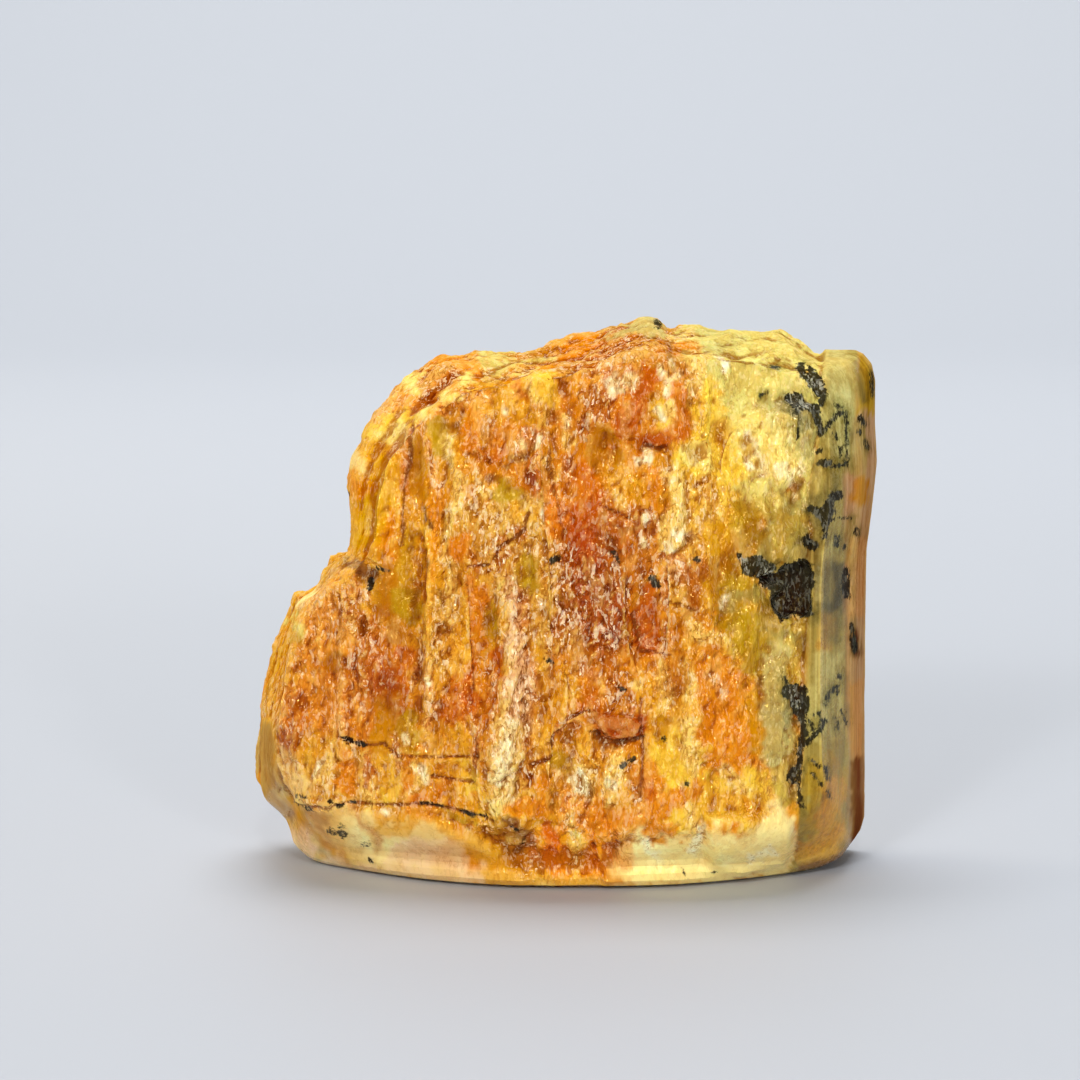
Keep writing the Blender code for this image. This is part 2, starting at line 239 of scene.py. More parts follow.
# Ridges: the top's x and z, the foot's x and z, the half-width and the height, all in mm.
RIDGES = (
    (-4.0, 19.8, -5.0, 5.2, 0.9, 0.9),
    (-8.6, 24.5, -9.2, 12.5, 0.8, 0.6),
    (-12.4, 30.5, -13.2, 18.5, 0.7, 0.6),
    (-1.2, 35.0, -2.0, 24.0, 0.8, 0.6),
    (3.4, 20.0, 5.6, 12.0, 0.8, 0.7),
    (8.6, 20.5, 8.2, 10.0, 0.9, 0.7),
    (6.8, 34.0, 7.6, 28.0, 0.9, 0.5),
    (-10.6, 14.0, -10.0, 5.8, 0.6, 0.5),
)

# Hollows: the middle's x and z, the half-width, the half-height and the depth.
HOLLOWS = (
    (13.6, 28.3, 3.2, 3.9, 1.3),
    (14.3, 20.2, 2.1, 2.2, 1.5),
    (5.0, 28.8, 2.4, 3.6, 0.8),
    (-2.0, 13.6, 1.9, 4.6, 0.9),
    (3.3, 10.3, 2.3, 1.6, 0.8),
    (-16.0, 29.0, 2.2, 4.2, 0.7),
    (-13.2, 21.2, 1.0, 1.1, 0.8),
    (-9.4, 10.8, 2.0, 2.6, 0.5),
    (9.6, 7.4, 2.4, 2.6, 0.6),
)

# Ledges: the two ends, half the width of the step, and its height.
LEDGES = (
    ((-19.0, 8.6), (-4.4, 8.9), 0.5, 0.45),
    ((-4.6, 8.0), (1.8, 12.4), 0.5, 0.7),
    ((-8.2, 25.2), (-1.4, 28.6), 0.5, 0.6),
    ((1.6, 31.0), (9.6, 29.6), 0.6, 0.7),
    ((-17.4, 20.6), (-19.0, 12.6), 0.6, -0.8),
)


def distance_to_line(x, z, start, end):
    """Distance from a segment's line, signed by the side, and the share of the way along it."""
    dx, dz = end[0] - start[0], end[1] - start[1]
    length = float(np.hypot(dx, dz))
    along = ((x - start[0]) * dx + (z - start[1]) * dz) / length**2
    across = (dx * (z - start[1]) - dz * (x - start[0])) / length
    return across, along


def large_relief(x, z):
    """Ridges are bell curves across a line, hollows are bowls of 1 - r^2, and ledges are smooth steps
    across a line that die away over 4 mm. Growth ribs are folded noise, long up the crystal."""
    total = 0.0
    for x_top, z_top, x_foot, z_foot, half_width, height in RIDGES:
        across, along = distance_to_line(x, z, (x_top, z_top), (x_foot, z_foot))
        ends = smoothstep(along, -0.1, 0.12) * smoothstep(along, 1.1, 0.88)
        total = total + height * ends * np.exp(-((across / half_width) ** 2))
    for x_mid, z_mid, half_width, half_height, depth in HOLLOWS:
        r_squared = ((x - x_mid) / half_width) ** 2 + ((z - z_mid) / half_height) ** 2
        total = total - depth * np.clip(1.0 - r_squared, 0.0, None)
    for start, end, slope, height in LEDGES:
        across, along = distance_to_line(x, z, start, end)
        ends = smoothstep(along, -0.08, 0.08) * smoothstep(along, 1.08, 0.92)
        total = total + height * ends * smoothstep(across, -slope, slope) * np.exp(-np.abs(across) / 4.0)
    return total + rib_relief(x, z)


def rib_relief(x, z):
    """Growth ribs: 1 - 2 |n| of a noise n that changes every 2.6 mm across and every 10 mm upwards."""
    points = np.stack([x / 2.6, np.zeros_like(x), z / 10.0], axis=-1)
    return 0.38 * (1.0 - 2.0 * np.abs(soft_noise(points, SEED)))


def fall_away(distance, reach, depth):
    """A parabola: nothing up to distance 0, and the whole depth once the distance is the reach."""
    return depth * np.clip(distance / reach, 0.0, None) ** 2.0


def front_depth(x, z):
    """The front's reach less what falls away on four sides, plus the large relief, which is weaker on the
    prism faces and at the base."""
    left, right = fall_away(3.0 - x, 24.0, 6.4), fall_away(x - 3.0, 14.0, 2.4)
    top, foot = fall_away(z - 20.0, 17.0, 3.6), fall_away(7.0 - z, 7.0, 0.8)
    kept = 0.25 + 0.75 * smoothstep(x, 16.4, 14.6) * smoothstep(z, 2.0, 5.0)
    return FRONT_REACH - left - right - top - foot + 0.65 * large_relief(x, z) * kept


def back_depth(x, z):
    """Two flats that slope away from the upright edge, less the fall at the top, plus growth ribs, which
    are read 60 mm away so that they don't repeat those of the front."""
    flats = BACK_REACH - 0.29 * np.abs(x - BACK_EDGE)
    return flats - fall_away(z - 22.0, 15.0, 2.0) + 0.7 * rib_relief(x + 60.0, z)


def middle_depth(s, t, level, x):
    """Where a middle outline lies, blended between neighbouring sides near each corner. The front edge
    of the base is an arc that swings back at both ends."""
    arc = -BASE_FRONT_REACH * np.clip(1.0 - np.abs((x - 1.0) / 17.5) ** 2.6, -0.4, None)
    base = arc if level == 1 else np.full_like(x, BASE_BACK)
    weights = np.stack([1 - s, s, 1 - t, t], axis=-1) ** CORNER_SHARPNESS
    sides = [np.full_like(x, DEPTH_LEFT[level - 1]), np.full_like(x, DEPTH_RIGHT[level - 1]), base]
    sides.append(np.full_like(x, DEPTH_TOP[level - 1]))
    return (weights * np.stack(sides, axis=-1)).sum(axis=-1) / weights.sum(axis=-1)


def stone_points(s, d, t):
    """The surface for box coordinates from 0 to 1, across, deep and high, in mm. The depth runs through
    the four nested outlines, and the corners between them are softened by a short running mean."""
    levels = []
    for level in range(4):
        x, z = nested_outline(s, t, level).T
        if level == 0:
            y = -front_depth(x, z)
        elif level == 3:
            y = back_depth(x, z)
        else:
            y = middle_depth(s, t, level, x)
        levels.append(np.stack([x, y, z], axis=-1))
    stacked = np.stack(levels)
    index = np.arange(len(s))

    def at(depth):
        place = np.interp(depth, LEVEL_SHARES, (0.0, 1.0, 2.0, 3.0))
        lower = np.clip(np.floor(place).astype(int), 0, 2)
        share = (place - lower)[:, None]
        return (1 - share) * stacked[lower, index] + share * stacked[lower + 1, index]

    soften = np.minimum(EDGE_ROUNDING, np.minimum(d, 1.0 - d))
    return 0.25 * at(d - soften) + 0.5 * at(d) + 0.25 * at(d + soften)


# %% [markdown]
# ## The grid
#
# The front carries the detail, so its cells are three times finer than those of the back. Both are
# plain grids of quads. Between them runs a rim of rows, and three quarters of the way back one row of
# six-sided faces joins every third fine point to a coarse one, which keeps the whole skin closed.

# %% Grid of the skin
FINE_ACROSS, FINE_HIGH = 255, 237
FINE_ROWS = np.linspace(0.0, 0.76, 21)[1:]
COARSE_ROWS = np.linspace(0.76, 1.0, 8)[1:-1]


def sheet_grid(across, high, deep):
    """Box coordinates of a sheet, row by row, and the index of each of its grid points."""
    s, t = np.meshgrid(np.linspace(0, 1, across + 1), np.linspace(0, 1, high + 1), indexing="ij")
    box = np.stack([s.ravel(), np.full(s.size, deep), t.ravel()], axis=-1)
    return box, np.arange(s.size).reshape(s.shape)


def ring_of(grid):
    """The sheet's edge points in order: along the bottom, up the right, back along the top, down."""
    return np.concatenate([grid[:-1, 0], grid[-1, :-1], grid[:0:-1, -1], grid[0, :0:-1]])


def quads_between(lower, upper):
    """A closed band of quads between two rings of the same number of points."""
    return np.stack([lower, upper, np.roll(upper, -1), np.roll(lower, -1)], axis=-1)


def skin_grid():
    """Box coordinates and faces of the whole skin: front sheet, fine rows, joining row, coarse rows
    and back sheet."""
    box, front = sheet_grid(FINE_ACROSS, FINE_HIGH, 0.0)
    boxes = [box]
    count = len(box)
    quads = [np.stack([front[:-1, :-1], front[1:, :-1], front[1:, 1:], front[:-1, 1:]], -1).reshape(-1, 4)]
    ring = ring_of(front)
    ring_box = box[ring]
    for deep in FINE_ROWS:
        row = np.arange(len(ring)) + count
        boxes.append(ring_box * (1, 0, 1) + (0, deep, 0))
        quads.append(quads_between(ring, row))
        ring, count = row, count + len(row)
    coarse_box = ring_box[::3]
    row = np.arange(len(coarse_box)) + count
    boxes.append(coarse_box * (1, 0, 1) + (0, COARSE_ROWS[0], 0))
    count += len(row)
    fine = [np.roll(ring, -shift)[::3] for shift in range(4)]
    joins = np.stack([fine[3], fine[2], fine[1], fine[0], row, np.roll(row, -1)], axis=-1)
    ring = row
    for deep in COARSE_ROWS[1:]:
        row = np.arange(len(ring)) + count
        boxes.append(coarse_box * (1, 0, 1) + (0, deep, 0))
        quads.append(quads_between(ring, row))
        ring, count = row, count + len(row)
    box, back = sheet_grid(FINE_ACROSS // 3, FINE_HIGH // 3, 1.0)
    boxes.append(box)
    back = back + count
    quads.append(np.stack([back[:-1, :-1], back[:-1, 1:], back[1:, 1:], back[1:, :-1]], -1).reshape(-1, 4))
    quads.append(quads_between(ring, ring_of(back)))
    return np.concatenate(boxes), np.concatenate(quads), joins


box_places, skin_quads, skin_joins = skin_grid()
print("skin:", len(box_places), "points,", 2 * len(skin_quads) + 4 * len(skin_joins), "triangles")

# %% Large form as a mesh
stone_mm = stone_points(*box_places.T)
# Behind the terraces of the left side the stone slopes in and down.
behind_left = np.clip(stone_mm[:, 1] - 4.0, 0.0, None) * smoothstep(stone_mm[:, 0], 2.0, -14.0)
stone_mm[:, 0] += 0.15 * behind_left
stone_mm[:, 2] -= 0.30 * behind_left * smoothstep(stone_mm[:, 2], 3.0, 12.0)
stone_mesh = bpy.data.meshes.new("beryl_stone")
stone_mesh.from_pydata(stone_mm, [], skin_quads.tolist() + skin_joins.tolist())
stone_mesh.validate()
edges = np.empty(2 * len(stone_mesh.edges), np.int32)
stone_mesh.edges.foreach_get("vertices", edges)
edges = edges.reshape(-1, 2)


def smoothed(values, edges, times):
    """Each point's value moved to the mean of itself and its neighbours', many times over."""
    first, second = edges.T
    size = len(values)
    count = np.bincount(first, minlength=size) + np.bincount(second, minlength=size) + 1.0
    for _ in range(times):
        gained = [
            np.bincount(first, column[second], size) + np.bincount(second, column[first], size)
            for column in values.T
        ]
        values = (values + np.stack(gained, axis=-1)) / count[:, None]
    return values


# The glassy lip above the base has no sharp crease: there the form is rounded by a running mean.
deep_share, high_share = box_places[:, 1], box_places[:, 2]
lip_share = smoothstep(high_share + 0.4 * deep_share, 0.16, 0.05) * smoothstep(deep_share, 0.30, 0.20)
rounded_form = smoothed(stone_mm, edges, 60)
stone_mm = stone_mm + (rounded_form - stone_mm) * lip_share[:, None]
stone_mm[:, 2] = np.maximum(stone_mm[:, 2], 0.0)
stone_mesh.vertices.foreach_set("co", stone_mm.ravel())
stone_mesh.update()


def surface_normals(mesh):
    """The direction straight out of the surface at each point, as Blender averages it from the faces."""
    normals = np.empty(3 * len(mesh.vertices), np.float32)
    mesh.vertex_normals.foreach_get("vector", normals)
    return normals.reshape(-1, 3).astype(float)


normals = surface_normals(stone_mesh)
print("outermost point faces out:", bool(normals[np.argmax(stone_mm[:, 0]), 0] > 0))

# %% [markdown]
# ## Marks named by their places in the picture
#
# A vein, a ridge or a patch of stain is a line drawn on the front with a half-width. One helper gives
# every point's distance from such a line, and everything that follows, both relief and colour, uses it.
# The points are first bent by noise, more along the crystal than across it, so that no drawn line stays
# straight and no patch keeps an even edge.

# %% Lines on the front
BENDS = ((7.0, 2.4, 51), (4.0, 0.9, 53), (2.0, 0.35, 55))  # picture units, grain in mm, seed
across_picture, down_picture = picture_places(stone_mm - BOX_MIDDLE)
bends = [
    (size, soft_noise(stone_mm / grain, seed), soft_noise(stone_mm / grain, seed + 1))
    for size, grain, seed in BENDS
]
ragged_across = across_picture + sum(size * sideways for size, sideways, _ in bends)
ragged_down = down_picture + 1.5 * sum(size * downwards for size, _, downwards in bends)

# On the faces that turn away, a drawn mark would run straight back, so there it is bent much more.
side_share = smoothstep(np.abs(normals[:, 0]), 0.6, 0.9) * smoothstep(stone_mm[:, 1], -2.5, 2.0)
side_bend = soft_noise(stone_mm * (1.0, 1.0, 0.5) / 3.5, 57) + 0.5 * soft_noise(stone_mm / 1.6, 58)
ragged_down = ragged_down + 26.0 * side_bend * side_share

# Relief, specks and cracks, and the patches of the smooth faces, are bent far less than the stain.
(broad_size, broad_across, broad_down), (close_size, close_across, close_down), _ = bends
wavy_across = across_picture + 0.18 * broad_size * broad_across + 0.3 * close_size * close_across
wavy_down = down_picture + 0.18 * broad_size * broad_down + 0.3 * close_size * close_down


def line_distance(u, v, path):
    """The distance of each place from a drawn line, the least of those from its straight stretches."""
    nearest = np.full(u.shape, 1e9)
    path = list(path) if len(path) > 1 else [path[0], path[0]]
    for (u0, v0), (u1, v1) in zip(path[:-1], path[1:]):
        du, dv = u1 - u0, v1 - v0
        along = np.clip(((u - u0) * du + (v - v0) * dv) / max(du * du + dv * dv, 1e-6), 0.0, 1.0)
        nearest = np.minimum(nearest, np.hypot(u - u0 - along * du, v - v0 - along * dv))
    return nearest


def plate_distance(u, v, corners):
    """The distance outside a closed outline: negative inside it. A place is inside where a level line
    from it crosses the outline an odd number of times."""
    inside = np.zeros(u.shape, bool)
    closed = [*corners, corners[0]]
    for (u0, v0), (u1, v1) in zip(closed[:-1], closed[1:]):
        if v0 != v1:
            inside ^= ((v0 > v) != (v1 > v)) & (u < (u1 - u0) * (v - v0) / (v1 - v0) + u0)
    return np.where(inside, -1.0, 1.0) * line_distance(u, v, closed)


# The upright edge between the rough front and the first smooth prism face, and the one after it. Marks
# on the second prism face die away a few millimetres behind its front edge.
EDGE_DOWN = (357, 408, 443, 497, 530, 556, 600, 650, 700, 740, 779, 811, 840, 870)
EDGE_ACROSS = (824, 822, 818, 806, 814, 810, 809, 808, 806, 804, 801, 799, 797, 790)
NEXT_EDGE_DOWN = (357, 408, 440, 480, 560, 650, 760, 850)
NEXT_EDGE_ACROSS = (858, 857, 849, 844, 845, 846, 849, 850)

facing_front = smoothstep(stone_mm[:, 1], 8.5, 6.0)
on_top = smoothstep(normals[:, 2], 0.3, 0.6) * smoothstep(stone_mm[:, 2], 24.0, 28.0)
seen = np.maximum(facing_front, on_top)
prism_face = across_picture - np.interp(down_picture, EDGE_DOWN, EDGE_ACROSS)
prism_face = smoothstep(prism_face, -1.5, 2.0) * facing_front
next_face = across_picture - np.interp(down_picture, NEXT_EDGE_DOWN, NEXT_EDGE_ACROSS)
next_face = smoothstep(next_face, -1.5, 2.0) * facing_front
near_front_edge = smoothstep(stone_mm[:, 1] + 2.0 * side_bend, 4.0, 0.5)

# The gloss is worn dull on the top, on the second prism face and on the steep left side, and a little on
# the first prism face.
dull = np.maximum(smoothstep(normals[:, 2], 0.35, 0.75), smoothstep(-normals[:, 0], 0.55, 0.85))
dull = np.maximum(dull, np.maximum(next_face, 0.35 * prism_face))

# %% [markdown]
# ## Colour
#
# Beryl's own colour here is gold. Iron stain makes it apricot, orange and rust, air in the fractures
# makes it cream, and the prism faces are olive green. The patches are laid on as a painter would, the
# broad ones first and each over the last, in a few named pigments, and thin glazes then deepen, pale or
# grey them. A pigment's fourth number is its frost: how far that part of the fracture is shattered fine,
# from clear as glass to full of glints. Colour and frost go into attributes of the mesh, which keep
# them on the stone from every side.

# %% Pigments


def linear(red, green, blue):
    """Screen values from 0 to 255 as the straight-line values that a shader mixes."""
    value = np.array([red, green, blue]) / 255.0
    return np.where(value < 0.04045, value / 12.92, ((value + 0.055) / 1.055) ** 2.4)


PIGMENTS = {
    "gold": (*linear(224, 156, 24), 0.40),
    "honey": (*linear(208, 146, 0), 0.05),
    "amber": (*linear(188, 118, 0), 0.05),
    "lemon": (*linear(240, 196, 54), 0.25),
    "orange": (*linear(222, 132, 4), 0.30),
    "ember": (*linear(204, 100, 0), 0.25),
    "sienna": (*linear(176, 90, 2), 0.30),
    "apricot": (*linear(232, 156, 56), 0.75),
    "rust": (*linear(190, 104, 20), 1.00),
    "brown": (*linear(128, 60, 4), 0.30),
    "rose": (*linear(220, 144, 72), 1.00),
    "cream": (*linear(244, 202, 100), 0.80),
    # White is a painted glint: highlights of light laid into the colour.
    "white": (*linear(255, 244, 196), 0.90),
    "straw": (*linear(214, 154, 54), 0.85),
    "pale lemon": (*linear(246, 220, 116), 0.42),
    "sage": (*linear(218, 204, 110), 0.24),
    "reed": (*linear(188, 154, 52), 0.20),
    "milk": (*linear(234, 200, 122), 0.20),
    "ivory": (*linear(255, 230, 150), 0.15),
    "shell": (*linear(240, 202, 154), 0.20),
    "blush": (*linear(234, 184, 132), 0.90),
    "olive": (*linear(180, 138, 8), 0.05),
    "moss": (*linear(158, 138, 66), 0.15),
    "slate": (*linear(154, 148, 96), 0.60),
    "mist": (*linear(196, 182, 108), 0.20),
    "tan": (*linear(186, 138, 66), 0.15),
    "bark": (*linear(112, 56, 26), 0.10),
    "clay": (*linear(188, 144, 102), 0.20),
    "smoke": (*linear(66, 60, 36), 0.10),
    "plum": (*linear(104, 48, 30), 0.30),
}

# Each patch is a pigment, a half-width, a strength and a line. The broad fields come first. The white
# patches are painted glints and highlight lines.
PATCHES = (
    ("orange", 60, 0.55, (600, 420), (600, 640)),
    ("rust", 44, 0.5, (580, 560), (600, 660)),
    ("ember", 36, 0.45, (330, 640), (380, 710)),
    ("ember", 30, 0.4, (450, 690), (520, 720)),
    ("sienna", 28, 0.65, (600, 520), (592, 580), (600, 640)),
    ("sienna", 15, 0.7, (292, 700), (292, 740)),
    ("sienna", 12, 0.7, (392, 680), (392, 706)),
    ("apricot", 34, 0.85, (380, 420), (415, 390), (460, 388)),
    ("apricot", 34, 0.9, (330, 620), (340, 690), (300, 700)),
    ("orange", 26, 0.7, (340, 650), (310, 710), (360, 730)),
    ("straw", 34, 0.75, (480, 520), (540, 570), (545, 620)),
    ("lemon", 40, 0.7, (715, 420), (725, 480), (715, 520)),
    ("sage", 34, 0.95, (720, 350), (770, 360), (800, 400)),
    ("sage", 26, 0.85, (745, 400), (770, 500), (790, 520)),
    ("moss", 22, 0.9, (790, 520), (795, 545), (775, 548)),
    ("reed", 28, 0.9, (765, 640), (790, 655), (760, 655)),
    ("olive", 16, 0.8, (748, 535), (735, 560), (745, 595), (735, 615), (752, 655)),
    ("moss", 9, 0.8, (792, 630), (808, 640)),
    ("moss", 18, 0.7, (770, 690), (782, 740), (790, 790)),
    ("apricot", 15, 0.8, (440, 615), (446, 655)),
    ("lemon", 16, 0.95, (690, 466), (692, 500)),
    ("apricot", 14, 0.85, (574, 812), (576, 845)),
    ("pale lemon", 14, 0.8, (752, 430), (750, 458)),
    ("gold", 30, 0.8, (560, 700), (560, 760)),
    ("gold", 34, 0.8, (460, 770), (440, 640), (445, 600)),
    ("orange", 26, 0.9, (722, 690), (742, 725), (735, 765)),
    ("lemon", 28, 0.8, (670, 750), (680, 800), (740, 800)),
    ("ivory", 26, 0.95, (640, 866), (700, 852), (780, 850)),
    ("milk", 30, 0.95, (300, 840), (370, 840), (440, 858)),
    ("ivory", 12, 0.8, (345, 835), (395, 852)),
    ("tan", 13, 0.95, (262, 735), (266, 780), (280, 812)),
    ("milk", 16, 0.7, (284, 765), (300, 790)),
    ("rust", 14, 0.55, (430, 374), (500, 354), (560, 346), (640, 335), (680, 333)),
    ("sage", 16, 1.0, (694, 332), (740, 330), (790, 345), (826, 362)),
    # Upper left shoulder.
    ("lemon", 9, 1.0, (381, 436), (400, 426), (411, 420)),
    ("pale lemon", 7, 1.0, (388, 438), (402, 432)),
    ("pale lemon", 7, 1.0, (424, 417), (432, 409)),
    ("pale lemon", 6, 1.0, (410, 388), (418, 385)),
    ("pale lemon", 6, 1.0, (445, 398), (458, 396)),
    ("pale lemon", 6, 1.0, (462, 377), (472, 372)),
    ("rust", 5, 0.8, (430, 385), (436, 392), (430, 400)),
    ("rust", 5, 0.8, (445, 366), (450, 375)),
    ("orange", 8, 0.9, (440, 362), (480, 366)),
    ("gold", 9, 0.95, (500, 372), (480, 385)),
    ("cream", 5, 0.9, (485, 365), (530, 367)),
    ("sage", 4, 0.9, (478, 356), (545, 351)),
    ("honey", 15, 0.95, (385, 460), (380, 495), (372, 540)),
    ("gold", 8, 0.9, (372, 470), (388, 475)),
    ("milk", 8, 1.0, (354, 452), (360, 472)),
    ("orange", 8, 0.9, (352, 483), (366, 488)),
    ("orange", 6, 0.8, (388, 520), (382, 545), (390, 560)),
    ("ember", 3, 0.8, (409, 432), (405, 480), (399, 545)),
    ("rose", 4, 0.7, (411, 430), (408, 455)),
    ("amber", 8, 0.95, (415, 450), (416, 492)),
    ("olive", 9, 0.9, (440, 432), (444, 452)),
    ("gold", 12, 0.9, (410, 510), (412, 560), (408, 590)),
    ("olive", 9, 0.6, (404, 540), (403, 580)),
    ("amber", 9, 1.0, (386, 578), (390, 640)),
    ("olive", 10, 0.9, (405, 600), (404, 618)),
    ("rose", 5, 0.8, (428, 452), (433, 482)),
    ("plum", 2.4, 0.9, (420, 508), (421, 526)),
    ("plum", 2.4, 0.8, (424, 532), (424, 541)),
    ("plum", 3, 0.7, (427, 566), (428, 578)),
    ("plum", 3, 0.7, (434, 592), (436, 600)),
    ("cream", 4, 0.95, (449, 436), (453, 462)),
    ("cream", 6, 0.9, (459, 475), (455, 505), (448, 540), (446, 620)),
    ("rose", 5, 0.8, (464, 490), (466, 500)),
    ("brown", 4, 0.8, (450, 425), (458, 432)),
    ("rust", 7, 0.85, (487, 424), (494, 436)),
    ("rust", 6, 0.8, (470, 448), (492, 452)),
    ("orange", 12, 0.95, (468, 415), (472, 440)),
    ("orange", 10, 0.9, (500, 445), (520, 425)),
    ("ember", 8, 0.85, (520, 382), (526, 396)),
    ("gold", 14, 0.9, (498, 388), (512, 402), (522, 418)),
    ("cream", 5, 0.8, (538, 382), (540, 402)),
    ("lemon", 8, 0.9, (548, 385), (552, 402)),
    ("rose", 6, 0.95, (521, 445), (530, 438), (546, 436)),
    ("rose", 6, 0.9, (538, 452), (530, 470), (527, 492)),
    ("brown", 5, 0.8, (512, 462), (526, 452)),
    ("brown", 4, 0.8, (492, 474), (503, 480)),
    ("olive", 9, 0.9, (500, 500), (510, 488)),
    ("cream", 5, 0.8, (478, 470), (484, 492)),
    ("cream", 5, 0.8, (520, 492), (530, 505)),
    ("plum", 7, 0.85, (352, 568), (362, 578), (371, 580)),
    ("orange", 9, 1.0, (468, 546), (455, 560)),
    ("ember", 4, 0.85, (465, 580), (470, 620), (473, 690)),
    ("orange", 8, 0.85, (480, 590), (482, 640)),
    ("olive", 11, 0.9, (526, 562), (522, 590)),
    ("pale lemon", 4, 0.9, (500, 583)),
    ("olive", 8, 0.7, (492, 612), (490, 630)),
    ("rust", 4, 0.8, (470, 566), (490, 563), (502, 547), (523, 533)),
    # Upper middle.
    ("rust", 14, 0.85, (568, 368), (600, 350), (628, 346)),
    ("rose", 11, 0.85, (600, 360), (608, 385), (628, 378)),
    ("rust", 13, 0.9, (592, 400), (600, 412), (588, 430)),
    ("white", 5, 0.8, (606, 384), (611, 392)),
    ("white", 3.5, 0.8, (622, 379), (631, 376)),
    ("white", 3.5, 0.8, (655, 374), (661, 378)),
    ("white", 3.5, 0.8, (667, 386), (673, 378)),
    ("amber", 15, 1.0, (604, 440), (598, 462), (612, 460)),
    ("ember", 9, 0.9, (645, 375), (636, 395), (628, 425)),
    ("ember", 13, 0.9, (652, 436), (675, 430), (678, 405)),
    ("brown", 3.5, 0.9, (645, 444), (655, 447), (662, 447)),
    ("lemon", 8, 0.85, (652, 398), (655, 415)),
    ("cream", 4, 0.85, (652, 408), (667, 404)),
    ("orange", 7, 0.9, (662, 347), (695, 342)),
    ("orange", 7, 0.9, (560, 345), (590, 342)),
    ("brown", 3, 0.8, (664, 350), (665, 368)),
    ("cream", 5, 0.85, (563, 420), (567, 440)),
    ("cream", 4, 0.85, (549, 455), (553, 480)),
    ("rose", 6, 0.8, (566, 458), (562, 482)),
    ("lemon", 4, 0.9, (578, 487), (581, 492)),
    ("pale lemon", 4, 0.9, (550, 500), (556, 508)),
    ("gold", 13, 0.9, (612, 478), (632, 490)),
    ("cream", 5, 0.8, (615, 496), (618, 502)),
    ("orange", 8, 0.9, (648, 470), (655, 492)),
    ("white", 4, 0.85, (632, 456), (634, 460)),
    ("white", 5, 0.8, (645, 452), (648, 458)),
    ("plum", 9, 0.6, (634, 512), (644, 524), (640, 536)),
    ("rust", 9, 0.8, (630, 510), (652, 528), (640, 540)),
    ("rose", 4, 0.8, (640, 536), (644, 545)),
    ("ember", 13, 0.85, (580, 470), (583, 520), (588, 560)),
    ("orange", 9, 0.85, (545, 490), (560, 530)),
    ("rust", 18, 0.8, (575, 570), (580, 600), (565, 620)),
    ("brown", 7, 0.55, (610, 540), (618, 562), (620, 590)),
    ("rust", 16, 0.75, (612, 580), (620, 610), (605, 645)),
    ("rust", 7, 0.6, (600, 610), (604, 650)),
    ("ember", 9, 0.95, (648, 585), (646, 620), (648, 650)),
    ("rust", 6, 0.8, (662, 620), (668, 650)),
    ("rose", 9, 0.9, (668, 565), (680, 572), (664, 590)),
    ("orange", 7, 0.9, (640, 655), (625, 665)),
    # Right of the middle.
    ("cream", 11, 0.95, (674, 478), (673, 520), (672, 548)),
    ("white", 6, 1.0, (680, 537), (688, 540)),
    ("white", 4, 0.95, (672, 548), (676, 556)),
    ("cream", 9, 0.8, (700, 350), (692, 372), (690, 395)),
    ("lemon", 8, 0.9, (708, 375), (712, 402)),
    ("white", 5, 0.9, (719, 354), (725, 362)),
    ("sage", 12, 0.9, (735, 378), (742, 400)),
    ("pale lemon", 8, 0.8, (690, 452), (705, 468)),
    ("lemon", 14, 0.9, (712, 425), (722, 450), (735, 470)),
    ("pale lemon", 26, 1.0, (768, 432), (784, 462), (788, 440)),
    ("white", 7, 0.55, (775, 470), (788, 486)),
    ("white", 5, 0.6, (808, 440), (814, 452), (800, 470)),
    ("white", 3, 0.6, (744, 430), (752, 452), (762, 478)),
    ("olive", 9, 0.9, (745, 512), (756, 528)),
    ("straw", 12, 0.8, (700, 490), (708, 520), (700, 545)),
    ("honey", 14, 0.9, (712, 540), (725, 558), (714, 585)),
    ("sienna", 9, 0.85, (695, 575), (690, 595)),
    ("olive", 12, 0.7, (740, 575), (730, 590)),
    ("moss", 9, 0.8, (735, 598), (754, 592)),
    ("slate", 10, 0.9, (784, 408), (798, 422)),
    ("moss", 9, 0.9, (803, 486), (812, 498)),
    ("smoke", 8, 0.6, (810, 508), (812, 522)),
    ("smoke", 9, 0.8, (812, 548), (812, 562)),
    ("white", 3, 0.9, (727, 597)),
    ("reed", 13, 0.7, (765, 515), (795, 525), (785, 545)),
    ("olive", 9, 0.9, (742, 640), (735, 615)),
    ("cream", 8, 0.95, (690, 618), (700, 640), (722, 644)),
    ("cream", 6, 0.9, (662, 662), (668, 705)),
    ("orange", 9, 0.9, (700, 672), (712, 700), (703, 730)),
    ("rose", 5, 0.8, (706, 678), (715, 690)),
    ("cream", 5, 0.9, (684, 660), (689, 700)),
    ("cream", 6, 0.9, (690, 722), (688, 775)),
    ("lemon", 12, 0.9, (668, 745), (676, 775)),
    ("honey", 8, 0.85, (662, 722), (660, 738)),
    ("honey", 10, 0.85, (755, 700), (765, 745)),
    ("lemon", 9, 0.8, (752, 772), (740, 792)),
    ("cream", 7, 0.8, (722, 765), (740, 785)),
    ("ember", 11, 0.95, (602, 722), (620, 727), (638, 722)),
    ("rust", 8, 0.8, (610, 698), (628, 700)),
    ("brown", 2.6, 0.95, (594, 733), (604, 740), (622, 742), (640, 737)),
    ("cream", 6, 0.9, (634, 682), (642, 678)),
    ("orange", 8, 0.9, (590, 680), (588, 708)),
    ("rose", 4, 0.85, (580, 662), (596, 690)),
    # Lower middle.
    ("gold", 11, 0.9, (556, 690), (560, 715), (552, 745)),
    ("rust", 4, 0.9, (533, 765), (550, 752), (556, 735), (572, 719), (590, 712)),
    ("rose", 5, 0.8, (556, 738), (572, 728)),
    ("olive", 8, 0.8, (556, 760), (566, 772)),
    ("cream", 13, 0.9, (578, 776), (585, 790)),
    ("white", 6, 0.85, (578, 778), (583, 792)),
